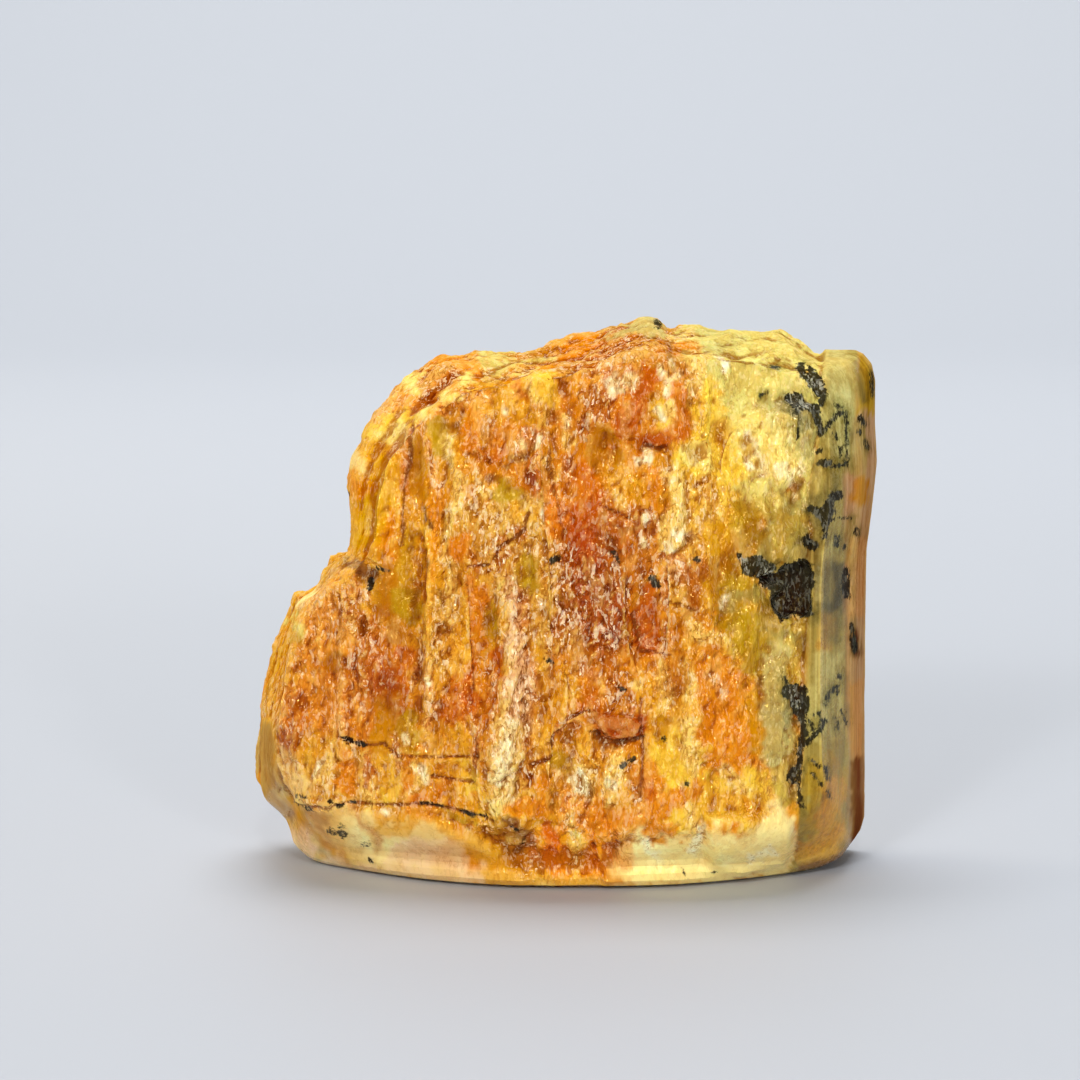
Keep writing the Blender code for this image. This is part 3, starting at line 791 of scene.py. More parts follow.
    ("cream", 8, 0.9, (612, 752), (610, 800)),
    ("white", 4, 0.8, (610, 775), (612, 792)),
    ("rust", 6, 0.8, (632, 768), (634, 800)),
    ("orange", 13, 0.95, (645, 775), (655, 792), (690, 788)),
    ("ember", 9, 0.8, (645, 785), (650, 800)),
    ("orange", 10, 0.95, (600, 822), (635, 818), (660, 800)),
    ("apricot", 9, 0.9, (570, 805), (576, 840), (568, 866)),
    ("cream", 4, 0.7, (572, 820), (575, 850)),
    ("orange", 12, 0.95, (596, 848), (606, 858), (590, 866)),
    ("rust", 4, 0.9, (594, 850), (600, 855)),
    ("ember", 8, 0.9, (550, 830), (546, 862)),
    ("orange", 8, 0.85, (545, 870), (560, 872)),
    ("rose", 6, 0.7, (530, 850), (528, 870)),
    ("cream", 7, 0.85, (700, 838), (688, 818), (690, 800)),
    ("white", 3.5, 0.8, (697, 825), (699, 858)),
    ("white", 4, 0.7, (648, 842), (662, 854)),
    ("gold", 8, 0.85, (712, 808), (735, 800), (752, 812)),
    ("ivory", 16, 0.9, (778, 818), (770, 848), (730, 866), (640, 872)),
    ("reed", 7, 0.7, (776, 790), (786, 800)),
    ("white", 1.8, 1.0, (745, 856), (763, 844), (780, 839)),
    # Lower left.
    ("amber", 9, 0.85, (334, 660), (338, 676)),
    ("sienna", 8, 0.85, (293, 706), (302, 702)),
    ("rust", 5, 0.7, (297, 668), (306, 664)),
    ("rust", 8, 0.7, (350, 612), (362, 640), (350, 670)),
    ("rose", 6, 0.8, (346, 716), (345, 736)),
    ("rose", 5, 0.7, (366, 605), (352, 590)),
    ("gold", 11, 0.9, (312, 742), (322, 770)),
    ("cream", 7, 0.8, (330, 765), (325, 776)),
    ("orange", 9, 0.95, (352, 765), (346, 788)),
    ("rose", 3.5, 0.9, (367, 762), (363, 790)),
    ("ember", 3, 0.8, (371, 765), (366, 792)),
    ("lemon", 12, 0.85, (386, 768), (392, 792)),
    ("honey", 12, 0.9, (386, 705), (384, 740)),
    ("olive", 9, 0.8, (412, 712), (410, 742)),
    ("rose", 5, 0.85, (428, 672), (432, 700), (427, 716)),
    ("rose", 3, 0.85, (417, 655), (413, 692)),
    ("ember", 8, 0.8, (400, 658), (402, 682)),
    ("straw", 12, 0.8, (438, 605), (436, 640), (440, 668)),
    ("ember", 11, 0.85, (462, 692), (468, 706), (448, 708)),
    ("lemon", 12, 0.85, (452, 770), (468, 778), (455, 792)),
    ("cream", 5, 0.85, (416, 765), (424, 780), (410, 795)),
    ("rose", 3.5, 0.9, (470, 716), (481, 740), (481, 770)),
    ("rose", 4, 0.8, (397, 745), (401, 765)),
    ("ember", 7, 0.9, (495, 652), (498, 668)),
    ("rose", 6, 0.75, (491, 676), (495, 690)),
    ("rose", 8, 0.85, (517, 596), (519, 650), (514, 680)),
    ("cream", 12, 0.95, (512, 690), (509, 735), (502, 795)),
    ("white", 7, 0.8, (507, 745), (503, 775), (499, 800)),
    ("rose", 8, 0.75, (526, 650), (530, 695)),
    ("rust", 7, 0.9, (517, 764), (524, 780)),
    ("orange", 9, 0.9, (505, 808), (535, 806)),
    ("orange", 7, 0.85, (540, 780), (545, 815)),
    ("plum", 8, 0.85, (512, 828), (522, 843), (514, 860)),
    ("brown", 9, 0.5, (505, 832), (525, 850)),
    ("olive", 6, 0.85, (440, 820), (478, 826)),
    ("gold", 8, 0.7, (382, 826), (412, 830)),
    ("rose", 7, 0.5, (410, 856), (450, 860)),
    ("tan", 7, 0.8, (300, 812), (326, 820)),
    ("straw", 6, 0.7, (290, 828), (312, 852)),
    ("smoke", 5, 0.4, (322, 856), (330, 858)),
    ("rust", 3, 0.5, (352, 812), (372, 830), (380, 850)),
    ("gold", 7, 0.8, (420, 818), (450, 834), (475, 855), (490, 872)),
    ("honey", 5, 0.8, (287, 795), (302, 820), (322, 842), (345, 862)),
    ("shell", 9, 0.8, (296, 838), (306, 858)),
    ("ivory", 9, 0.9, (298, 600), (312, 597)),
    ("sage", 7, 0.85, (288, 620), (297, 628)),
    ("olive", 5, 0.7, (290, 638), (297, 636)),
    ("straw", 8, 0.7, (330, 575), (345, 565)),
    ("shell", 6, 0.8, (330, 866), (400, 872), (480, 876)),
    ("shell", 12, 0.7, (400, 856), (460, 860)),
    ("gold", 9, 0.85, (462, 812), (480, 818)),
    ("mist", 14, 0.85, (776, 662), (776, 700), (778, 748)),
    ("moss", 13, 0.8, (780, 630), (798, 640)),
    ("reed", 10, 0.85, (768, 600), (782, 624), (806, 630)),
    ("apricot", 10, 0.7, (622, 832), (630, 866)),
    ("sage", 6, 0.9, (820, 412), (814, 450), (808, 492)),
    ("moss", 15, 0.55, (782, 402), (806, 408), (802, 436)),
    # The small pale knob and strips on the top.
    ("mist", 10, 0.95, (640, 326), (655, 332)),
    ("mist", 5, 0.9, (602, 334), (632, 328)),
    ("cream", 4, 0.8, (660, 340), (695, 334)),
)

# Single bright flakes are painted glints, and the one long pale rib carries a streak of painted glint.
# Both keep their drawn form better than the stain does.
GLINT_FLAKES = (
    ((611, 380), (618, 383)), ((611, 389), (621, 392)), ((629, 379), (632, 387)), ((614, 374), (616, 376)),
    ((658, 366), (659, 375)), ((669, 364), (674, 374)), ((667, 390), (667, 395)), ((656, 409), (663, 418)),
    ((637, 461), (648, 461)), ((642, 448), (645, 456)), ((541, 436), (534, 448)), ((521, 443), (523, 447)),
    ((504, 409), (505, 413)), ((538, 511), (540, 516)), ((566, 421), (567, 426)), ((405, 737), (406, 742)),
    ((428, 680), (430, 685)), ((383, 811), (387, 814)), ((421, 767), (427, 783)), ((322, 761), (317, 776)),
    ((643, 540), (644, 546)), ((644, 517), (645, 521)), ((749, 463), (752, 468)), ((571, 781), (576, 791)),
)
GLINT_FLAKE_PATCHES = [("white", 2.6, 0.95, *flake) for flake in GLINT_FLAKES]
RIB_PATCHES = (
    ("blush", 6, 0.8, (510, 582), (514, 610), (516, 650)),
    ("blush", 11, 0.8, (516, 640), (518, 680), (516, 710)),
    ("blush", 14, 0.85, (519, 690), (516, 720), (510, 750)),
    ("cream", 13, 0.8, (513, 735), (507, 765), (503, 790)),
    ("white", 7, 0.8, (506, 725), (503, 765), (499, 795)),
    ("cream", 6, 0.9, (499, 790), (496, 812)),
)

# The first of each prism face's patches is its own ground colour.
FACE_PATCHES = (
    ("moss", 80, 1.0, (825, 340), (825, 880)),
    ("mist", 15, 0.95, (836, 362), (842, 400)),
    ("mist", 5, 0.8, (852, 410), (851, 460)),
    ("mist", 14, 0.6, (830, 418), (838, 440)),
    ("smoke", 9, 0.4, (832, 482), (826, 500)),
    ("smoke", 8, 0.5, (814, 500), (815, 525)),
    ("mist", 7, 0.6, (834, 548), (828, 560)),
    ("straw", 8, 0.5, (828, 620), (825, 645)),
    ("mist", 12, 0.85, (828, 664), (820, 690), (812, 730)),
    ("mist", 8, 0.7, (836, 700), (836, 735)),
    ("olive", 22, 0.6, (828, 780), (825, 870)),
    ("gold", 12, 0.6, (832, 790), (828, 850)),
    ("straw", 9, 0.7, (798, 852), (815, 858)),
    ("slate", 8, 0.6, (820, 572), (824, 604)),
    ("smoke", 12, 0.45, (834, 570), (836, 600)),
    ("smoke", 7, 0.8, (840, 568), (843, 590), (840, 606)),
    ("smoke", 12, 0.45, (818, 612), (834, 616), (833, 632)),
    ("straw", 8, 0.6, (815, 845), (845, 835)),
    ("bark", 3.5, 0.9, (800, 868), (825, 863), (848, 854), (857, 840)),
)
NEXT_FACE_PATCHES = (
    ("clay", 60, 1.0, (862, 340), (862, 880)),
    ("olive", 14, 0.9, (862, 350), (866, 400)),
    ("smoke", 4, 0.7, (858, 372), (864, 400)),
    ("mist", 4, 0.6, (851, 410), (850, 470)),
    ("moss", 10, 0.6, (858, 430), (856, 470)),
    ("amber", 8, 0.9, (862, 484), (860, 498)),
    ("moss", 6, 0.5, (852, 520), (850, 560)),
    ("rose", 9, 0.4, (860, 545), (858, 610)),
    ("plum", 5.5, 0.95, (852, 634), (855, 652)),
    ("orange", 10, 0.35, (860, 690), (858, 750)),
    ("bark", 9, 0.95, (858, 765), (858, 850)),
)

# Thin glazes go over all the patches. A tone multiplies the red, green and blue under it and leaves the
# frost, its fourth number, as it is. Each glaze is a tone, a half-width, a strength and a line.
DEEPER = (0.80, 0.58, 0.28, 1.0)
BROWNER = (0.62, 0.46, 0.26, 1.0)
PALER = (1.14, 1.26, 1.50, 1.0)
GREYER = (0.70, 0.78, 0.95, 1.0)
RICHER = (0.95, 0.70, 0.35, 1.0)
# This tone is painted light: it brightens the lip where it faces down, away from the lamps.
PAINTED_LIGHT = (1.50, 1.45, 1.60, 1.0)
GLAZES = (
    # The heart of the stain, from the rusty knot near the top down to the small lens-shaped body.
    (DEEPER, 26, 1.0, (600, 530), (585, 570), (595, 620)),
    (DEEPER, 15, 0.8, (632, 385), (626, 420), (648, 436)),
    (DEEPER, 15, 0.9, (652, 354), (674, 376)),
    (DEEPER, 16, 0.6, (494, 434), (514, 436), (532, 492)),
    (DEEPER, 13, 0.8, (628, 530), (640, 575)),
    (DEEPER, 14, 0.8, (692, 605), (676, 640), (674, 680)),
    (DEEPER, 14, 0.9, (588, 714), (615, 722), (640, 714)),
    (RICHER, 18, 0.8, (500, 462), (532, 466)),
    (RICHER, 16, 0.8, (555, 504), (580, 560), (606, 595)),
    (RICHER, 26, 0.35, (600, 480), (600, 560), (596, 640)),
    (RICHER, 16, 0.9, (578, 714), (610, 735), (634, 742)),
    # The stained hollows at the lower left.
    (DEEPER, 15, 0.8, (294, 705), (296, 740)),
    (DEEPER, 18, 0.7, (334, 670), (372, 680), (394, 700)),
    (DEEPER, 20, 0.8, (384, 630), (382, 685)),
    (RICHER, 13, 0.7, (378, 640), (384, 690)),
    (DEEPER, 11, 0.8, (492, 700), (491, 760)),
    (RICHER, 14, 0.9, (480, 660), (482, 720)),
    (RICHER, 14, 0.7, (378, 766), (430, 814), (456, 768)),
    (RICHER, 16, 0.7, (330, 812), (334, 842)),
    # The pale ribs, windows and chips between the stains.
    (PALER, 22, 1.0, (416, 550), (416, 592), (438, 630), (444, 660)),
    (PALER, 13, 0.8, (372, 465), (373, 535)),
    (PALER, 15, 0.9, (692, 385), (690, 430), (692, 515)),
    (PALER, 18, 1.0, (592, 740), (590, 795), (574, 830), (572, 858)),
    (PALER, 19, 1.0, (472, 790), (478, 818), (500, 816)),
    (PALER, 12, 0.8, (532, 735), (532, 758)),
    (PALER, 12, 0.8, (772, 770), (772, 785)),
    (PALER, 13, 0.7, (754, 660), (756, 668)),
    # The clear lip above the base, paled partly for its milky colour and partly as painted light where it
    # faces down, and the pale strip down the left.
    (PALER, 14, 0.8, (300, 855), (325, 860)),
    (PALER, 14, 0.7, (370, 834), (394, 838)),
    (PAINTED_LIGHT, 20, 0.95, (530, 854), (560, 862), (592, 858)),
    (PAINTED_LIGHT, 12, 0.6, (612, 838), (614, 856)),
    (PALER, 14, 0.6, (640, 850), (720, 846)),
    (GREYER, 12, 0.5, (264, 735), (276, 810)),
    # Beside the black mineral, where the stone is smoky.
    (BROWNER, 13, 0.8, (756, 535), (738, 560), (714, 578)),
    (BROWNER, 10, 0.8, (770, 608), (774, 624)),
    (BROWNER, 11, 0.8, (812, 548), (813, 560)),
    (GREYER, 18, 1.0, (774, 414), (790, 430), (800, 440)),
    (GREYER, 14, 0.8, (806, 545), (812, 570)),
    (GREYER, 13, 0.6, (772, 712), (794, 718)),
    # The upper right edge and the foot of the prism faces.
    (PALER, 14, 0.8, (845, 388), (850, 440)),
    (PALER, 12, 0.5, (732, 356), (775, 357)),
    (GREYER, 8, 0.5, (700, 337), (742, 339)),
    (PALER, 11, 0.9, (800, 858), (818, 855)),
    (BROWNER, 9, 0.5, (858, 800), (852, 850)),
)


def mixed(under, over, share):
    """One colour laid over another: under times 1 - share, plus over times share."""
    share = np.asarray(share)[:, None]
    return under * (1.0 - share) + np.asarray(over) * share


def lay_patches(coat, patches, u, v, kept):
    """Each patch goes over those before it: full well inside its half-width, gone just outside it. Noise
    moves its edge in and out by up to about half the half-width."""
    for pigment, half_width, strength, *path in patches:
        away = line_distance(u, v, path) + 0.45 * half_width * ragged_edge
        share = smoothstep(away, 1.2 * half_width + 1.5, 0.8 * half_width - 1.5)
        coat = mixed(coat, PIGMENTS[pigment], share * strength * kept)
    return coat


ragged_edge = soft_noise(stone_mm / 0.7, 84) + 0.6 * soft_noise(stone_mm / 0.3, 85)
broad = soft_noise(stone_mm * (1.0, 1.0, 0.35) / 3.2, 81)
narrow = soft_noise(stone_mm * (1.0, 1.0, 0.25) / 1.3, 82)
veins = soft_noise(stone_mm * (1.0, 1.0, 0.6) / 6.5, 83)
coat = np.tile(PIGMENTS["gold"], (len(stone_mm), 1))
coat = mixed(coat, PIGMENTS["orange"], 0.8 * smoothstep(broad + 0.6 * narrow, 0.05, 0.6))
coat = mixed(coat, PIGMENTS["straw"], 0.7 * smoothstep(veins - 0.4 * narrow, 0.1, 0.6))
coat = mixed(coat, PIGMENTS["rust"], 0.6 * smoothstep(-broad + 0.5 * veins, 0.4, 0.9))
coat = mixed(coat, PIGMENTS["cream"], 0.7 * smoothstep(narrow - 0.5 * broad, 0.45, 0.95))
coat = lay_patches(coat, PATCHES, ragged_across, ragged_down, seen * (1.0 - prism_face))
coat = lay_patches(coat, GLINT_FLAKE_PATCHES, wavy_across, wavy_down, facing_front)
coat = lay_patches(coat, RIB_PATCHES, wavy_across, wavy_down, facing_front)
coat = lay_patches(coat, FACE_PATCHES, wavy_across, wavy_down, prism_face)
coat = lay_patches(coat, NEXT_FACE_PATCHES[:1], wavy_across, wavy_down, next_face)
coat = lay_patches(coat, NEXT_FACE_PATCHES[1:], wavy_across, wavy_down, next_face * near_front_edge)
behind = next_face * (1.0 - near_front_edge)
coat = mixed(coat, PIGMENTS["moss"], 0.5 * smoothstep(side_bend + 0.6 * narrow, 0.0, 0.9) * behind)
for tone, half_width, strength, *path in GLAZES:
    away = line_distance(ragged_across, ragged_down, path)
    share = smoothstep(away, 1.5 * half_width, 0.4 * half_width) * strength * seen
    coat = mixed(coat, coat * tone, share)
coat = np.minimum(coat, 1.0)
frost = coat[:, 3]
patch_lists = (PATCHES, GLINT_FLAKE_PATCHES, RIB_PATCHES, FACE_PATCHES, NEXT_FACE_PATCHES)
print("patches laid:", sum(map(len, patch_lists)), "glazes:", len(GLAZES))

# %% [markdown]
# ## Fine breakage
#
# The fracture is built from facets at six sizes, from six millimetres down to less than half of one,
# the small ones stronger where the stone is frosted. They stretch along the crystal, because beryl
# breaks more easily that way, and they are damped on the smooth prism faces, on the base and on the
# glassy lip above it. A glassy fracture also has hackles, small steps all running one way, which come
# from rounding a slanting height to whole steps.

# %% Fine relief
LIP_ACROSS = (255, 275, 330, 420, 470, 500, 530, 600, 625, 700, 760, 790, 830)
LIP_DOWN = (770, 792, 808, 812, 836, 856, 884, 884, 846, 832, 822, 800, 796)
LEFT_STRIP = ((262, 730), (266, 780), (276, 806))
LARGE_FACETS = ((6.4, 1.15), (3.0, 0.65), (1.5, 0.2))  # size and height in mm
HACKLE_STEP = 0.34

lip_line = np.interp(across_picture, LIP_ACROSS, LIP_DOWN)
glassy_lip = smoothstep(down_picture - lip_line, -4.0, 10.0) * facing_front
left_strip = smoothstep(line_distance(wavy_across, wavy_down, LEFT_STRIP), 15, 9)
left_strip = left_strip * smoothstep(stone_mm[:, 1] + 2.0 * side_bend, 3.5, 0.5)
calm = np.clip(0.9 * prism_face + 0.82 * glassy_lip + 0.8 * left_strip * facing_front, 0.0, 0.93)
rough = (1.0 - calm) * smoothstep(stone_mm[:, 2], 0.0, 0.9)
large = 0.5 * soft_noise(stone_mm / 9.0, SEED + 2)
stretched = stone_mm * (1.0, 1.0, 0.62)
for size, height in LARGE_FACETS:
    large = large + height * facet_noise(stretched / size, SEED + 3)

# Small facets and hackles are higher where the stone is frosted.
shatter = 0.45 + 0.75 * frost
middle = 0.18 * facet_noise(stone_mm * (1.0, 1.0, 0.4) / 1.2, 71)
middle = middle + 0.11 * shatter * facet_noise(stone_mm * (1.0, 1.0, 0.6) / 0.7, 72)
fine = 0.13 * shatter * facet_noise(stone_mm / 0.42, 73)
slant = 1.6 * soft_noise(stone_mm * (1.0, 1.0, 0.4) / 3.4, 74)
slant = slant + 0.16 * stone_mm[:, 0] + 0.05 * stone_mm[:, 2]
steps = slant / HACKLE_STEP
hackles = HACKLE_STEP * (np.floor(steps) + smoothstep(steps - np.floor(steps), 0.55, 1.0)) - slant
streaks = 1.0 - 2.0 * np.abs(soft_noise(stone_mm * (1.0, 1.0, 0.12) / 0.8, 75))
grain = middle + fine + 0.28 * shatter * hackles + 0.05 * streaks

# Ribs raised on the front, cracks cut into it and bowls sunk in it: the half-width in picture units, the
# height or depth in mm, and the line.
DRAWN_STRENGTH = 0.6
RAISED = (
    (14, 0.75, (512, 584), (518, 640), (514, 690), (507, 750), (500, 815)),
    (7, 0.45, (452, 440), (458, 475), (455, 520), (448, 560), (447, 620)),
    (7, 0.40, (430, 560), (427, 640), (430, 700), (424, 730)),
    (12, 0.40, (676, 470), (672, 520), (674, 560)),
    (8, 0.40, (683, 615), (690, 680), (689, 730), (686, 790)),
    (4, 0.35, (470, 715), (480, 735), (483, 765), (478, 790)),
    (8, 0.45, (352, 600), (345, 650), (340, 700)),
    (5, 0.30, (560, 400), (565, 440), (558, 480), (553, 540)),
    (13, 0.50, (598, 716), (618, 722), (638, 718)),
    (9, 0.35, (696, 625), (722, 640)),
    (6, 0.30, (395, 700), (400, 745), (403, 780)),
    (7, 0.30, (612, 745), (614, 800)),
    (7, 0.30, (570, 800), (574, 860)),
    (6, 0.30, (540, 640), (532, 700), (540, 745)),
    (4, 0.25, (365, 760), (360, 790)),
)
CUT = (
    (2.2, 0.30, (338, 738), (352, 742), (365, 745), (383, 743), (397, 756), (449, 757), (480, 757)),
    (1.6, 0.22, (466, 568), (478, 565), (490, 563), (501, 547), (512, 540), (523, 532), (527, 512)),
    (2.2, 0.30, (533, 764), (545, 758), (552, 750), (556, 734), (570, 719), (589, 712)),
    (2.5, 0.35, (592, 734), (603, 741), (622, 743), (640, 738)),
    (2.2, 0.25, (411, 424), (408, 460), (402, 485), (400, 545)),
    (1.8, 0.20, (466, 584), (470, 640), (473, 690)),
    (1.5, 0.18, (551, 450), (555, 490), (563, 525)),
    (1.6, 0.18, (600, 504), (618, 512), (630, 520)),
    (2.2, 0.25, (278, 790), (300, 803), (330, 808), (345, 803), (420, 806), (455, 812), (492, 824)),
    (2.0, 0.22, (640, 700), (642, 760), (640, 800)),
    (1.6, 0.18, (640, 612), (645, 650), (672, 655)),
    (1.4, 0.15, (663, 599), (680, 604), (697, 612)),
    (2.4, 0.30, (645, 444), (655, 448), (664, 446)),
    (1.6, 0.20, (431, 776), (452, 781), (472, 783)),
)
SUNK = (
    (8, 0.4, (806, 380), (818, 388)),
    (10, 0.35, (660, 415), (655, 400)),
    (12, 0.35, (607, 450), (600, 465)),
    (9, 0.3, (412, 540), (410, 600)),
    (10, 0.35, (525, 575), (522, 592)),
    (12, 0.4, (380, 480), (375, 530)),
    (9, 0.3, (412, 715), (410, 740)),
    (10, 0.4, (335, 662), (336, 676)),
    (8, 0.3, (665, 722), (660, 735)),
    (8, 0.35, (497, 655), (497, 668)),
    (12, 0.4, (720, 430), (726, 462)),
)

# Shells and hollows with an outline of their own: the height, the width of their slope, the outline. The
# deepest is the one that the black mineral fills.
LARGE_DARK_HOLLOW = (
    (760, 576), (775, 573), (780, 566), (808, 560), (813, 566), (812, 600), (815, 610), (806, 618),
    (796, 612), (788, 618), (780, 622), (772, 606), (769, 598), (776, 590), (762, 584),
)
SHELLS = (
    (0.8, 16, (738, 418), (752, 404), (780, 398), (812, 402), (821, 430), (817, 470), (800, 488),
     (776, 498), (760, 478), (748, 456)),
    (0.6, 14, (700, 812), (740, 806), (785, 806), (796, 822), (798, 848), (786, 868), (740, 880),
     (702, 874)),
    (0.5, 8, (590, 716), (606, 712), (632, 714), (644, 722), (640, 736), (618, 742), (600, 738)),
    (0.4, 8, (664, 470), (686, 468), (690, 520), (688, 548), (668, 560), (662, 520)),
    (-1.1, 7, *LARGE_DARK_HOLLOW),
)

drawn = np.zeros(len(stone_mm))
for height, slope_width, *corners in SHELLS:
    drawn += height * smoothstep(plate_distance(wavy_across, wavy_down, corners), 0.0, -slope_width)
for half_width, height, *path in RAISED:
    away = line_distance(wavy_across, wavy_down, path)
    drawn += DRAWN_STRENGTH * height * np.exp(-((away / half_width) ** 2))
for half_width, depth, *path in CUT:
    away = line_distance(wavy_across, wavy_down, path)
    drawn -= DRAWN_STRENGTH * depth * np.exp(-((away / half_width) ** 2))
for half_width, depth, *path in SUNK:
    away = line_distance(wavy_across, wavy_down, path)
    drawn -= DRAWN_STRENGTH * depth * smoothstep(away, 1.6 * half_width, 0.2 * half_width)
drawn = drawn * facing_front

# The large facets are lower on faces that turn away and on those straight ahead, so that the outline and
# the front keep their form.
side_damping = 0.5 + 0.5 * np.abs(normals[:, 1])
front_share = 1.0 - 0.4 * smoothstep(-normals[:, 1], 0.3, 0.9)
relief = rough * (side_damping * front_share * large + (0.6 + 0.4 * side_damping) * grain)
relief = relief + drawn * (1.0 - 0.85 * prism_face)
stone_mm = stone_mm + normals * relief[:, None]
stone_mm[:, 2] = np.maximum(stone_mm[:, 2], 0.0)
stone_mm = stone_mm - BOX_MIDDLE
stone_mesh.vertices.foreach_set("co", (stone_mm * MM).ravel())
stone_mesh.update()
print("stone, mm:", stone_mm.min(axis=0).round(2), stone_mm.max(axis=0).round(2))
print("relief from", round(relief.min(), 2), "to", round(relief.max(), 2), "mm")

# A pit is how far the surface lies below its own running mean, and a hollow is the same on a broader scale.
softer = smoothed(stone_mm, edges, 5)
broader = smoothed(softer, edges, 45)
final_normals = surface_normals(stone_mesh)
pit = np.einsum("ij,ij->i", softer - stone_mm, final_normals)
hollow = np.einsum("ij,ij->i", broader - softer, final_normals)
# On the back's coarser grid the same means reach further, so its pits and hollows count for less.
coarseness = smoothstep(box_places[:, 1], 0.70, 0.80)
pit = pit * (1.0 - 0.6 * coarseness)
hollow = hollow * (1.0 - 0.7 * coarseness)
print("pits to", round(pit.max(), 2), "mm, hollows to", round(hollow.max(), 2), "mm")

# %% [markdown]
# ## Black mineral and cracks
#
# A dark speck must have a crisp edge, finer than the mesh. So the mesh carries the distance from its
# edge instead of its colour, and the shader finds the edge in that distance. The cracks are stored the
# same way.

# %% Distances from specks and cracks
FAR_EDGE = 30.0
PIT_RANGE, HOLLOW_RANGE = 0.2, 0.7  # mm, from the lowest stored value to the highest

# Across the picture, the smoky halo is missing left of the first place and full right of the second.
HALO_LEFT, HALO_RIGHT = 735.0, 765.0

# Specks and veins of the dark mineral are lines with a half-width, and its plates are closed outlines.
DARK_SPECKS = (
    (3.6, (370, 582), (369, 588)), (1.4, (375, 568), (388, 572)),
    (4, (801, 366), (803, 376)), (3, (824, 390), (824, 396), (821, 404)), (3, (818, 412), (820, 430)),
    (2.2, (820, 433), (829, 424), (840, 413), (846, 414)), (1.5, (846, 414), (847, 440), (846, 464)),
    (1.8, (836, 404), (841, 409)), (1.4, (834, 432), (838, 438)), (1.8, (839, 447), (841, 454)),
    (1.8, (818, 452), (822, 450)), (3.6, (821, 463), (830, 463)), (1.6, (832, 467), (846, 463)),
    (4.5, (793, 430), (797, 436)), (3, (775, 363), (779, 364)), (1.2, (762, 394), (768, 391)),
    (3.2, (862, 418), (864, 424)), (2.6, (860, 432)), (1.6, (868, 448), (866, 442)),
    (2, (872, 372), (872, 396)),
    (5, (808, 541), (814, 546)), (2.6, (838, 538), (837, 544)), (2.2, (845, 547)),
    (1.0, (826, 520), (842, 518), (852, 519)), (1.8, (858, 530), (858, 535)),
    (3, (846, 570), (847, 595)), (4, (853, 640), (855, 650)), (2.4, (851, 624), (852, 632)),
    (2.6, (839, 677)), (1.4, (786, 678), (789, 684)),
    (2.4, (806, 688), (806, 700)), (3, (803, 715), (804, 735)), (2.6, (803, 735), (800, 762), (799, 780)),
    (1.4, (799, 780), (800, 806)), (3.6, (797, 770), (795, 777)), (2.4, (804, 746), (812, 737), (820, 729)),
    (2.6, (820, 729), (825, 722)), (1.3, (821, 721), (819, 713)), (1.6, (810, 722), (813, 730)),
    (1.9, (826, 704), (829, 696), (833, 691)), (1.9, (833, 691), (838, 687), (838, 694)),
    (1.8, (836, 720), (837, 729)), (1.2, (843, 712), (847, 724)), (1.1, (814, 716), (820, 712)),
    (1.7, (812, 761), (819, 768)), (1.8, (825, 769), (828, 780)), (1.3, (812, 775), (818, 782), (822, 786)),
    (1.0, (826, 790), (829, 798)), (2.4, (789, 777), (797, 783)), (1.6, (798, 803), (804, 807)),
    (1.8, (330, 830), (335, 832)), (2.4, (340, 832), (346, 835)), (1.1, (341, 825), (344, 829)),
    (1.3, (363, 844), (370, 845)), (1.3, (366, 857), (371, 861)), (1.3, (371, 861), (376, 864)),
    (1.9, (294, 801), (304, 804)), (1.6, (308, 806), (313, 809)), (1.6, (338, 806), (344, 805)),
    (1.4, (349, 803), (353, 803)), (1.4, (333, 800), (334, 802)), (1.1, (303, 793), (312, 796)),
    (3.2, (622, 766), (625, 763)), (2.2, (630, 761), (633, 759)), (1.6, (664, 738), (667, 742)),
    (1.7, (681, 783), (683, 780)), (3, (553, 560), (558, 558)), (2.5, (546, 661), (550, 663)),
    (2, (614, 554), (618, 561)), (3, (651, 578), (655, 586)), (2.2, (695, 560), (699, 562)),
    (1.5, (604, 731)), (1.6, (619, 690), (623, 692)), (1.0, (683, 868), (688, 877)),
    (1.0, (712, 870), (716, 871)),
    (1.6, (655, 325), (657, 328)), (1.5, (352, 492), (356, 494)), (2, (344, 738), (352, 742), (364, 745)),
    (1.6, (460, 813), (472, 818), (486, 820)), (1.5, (420, 804), (440, 808)),
    (1.6, (510, 830), (516, 833)), (1.4, (522, 846), (520, 851)),
)
DARK_PLATES = (
    LARGE_DARK_HOLLOW,
    ((806, 505), (812, 504), (820, 508), (824, 502), (832, 494), (839, 491), (842, 497), (836, 502),
     (836, 512), (830, 524), (826, 540), (820, 540), (824, 526), (818, 521), (813, 514)),
    ((803, 374), (812, 368), (822, 374), (828, 386), (824, 396), (816, 394), (806, 388)),
    ((784, 398), (792, 394), (808, 402), (819, 402), (821, 416), (821, 430), (814, 424), (806, 414),
     (790, 411)),
    ((785, 690), (794, 686), (806, 688), (806, 712), (804, 725), (799, 720), (790, 706)),
    ((742, 556), (762, 556), (778, 564), (770, 576), (744, 574)),
)

# In these places the mineral shows more of its grey-green chips.
GREY_SPECKS = (
    (10, (811, 380), (816, 386)), (9, (790, 403), (806, 406)), (6, (745, 560), (752, 568), (768, 574)),
    (6, (792, 694), (799, 708)), (6, (320, 858), (330, 860)), (3, (627, 764)),
)


def edge_distance(u, v, marks):
    """The distance outside the nearest mark's edge, in picture units: negative inside."""
    nearest = np.full(u.shape, FAR_EDGE)
    for half_width, *path in marks:
        nearest = np.minimum(nearest, line_distance(u, v, path) - half_width)
    return nearest


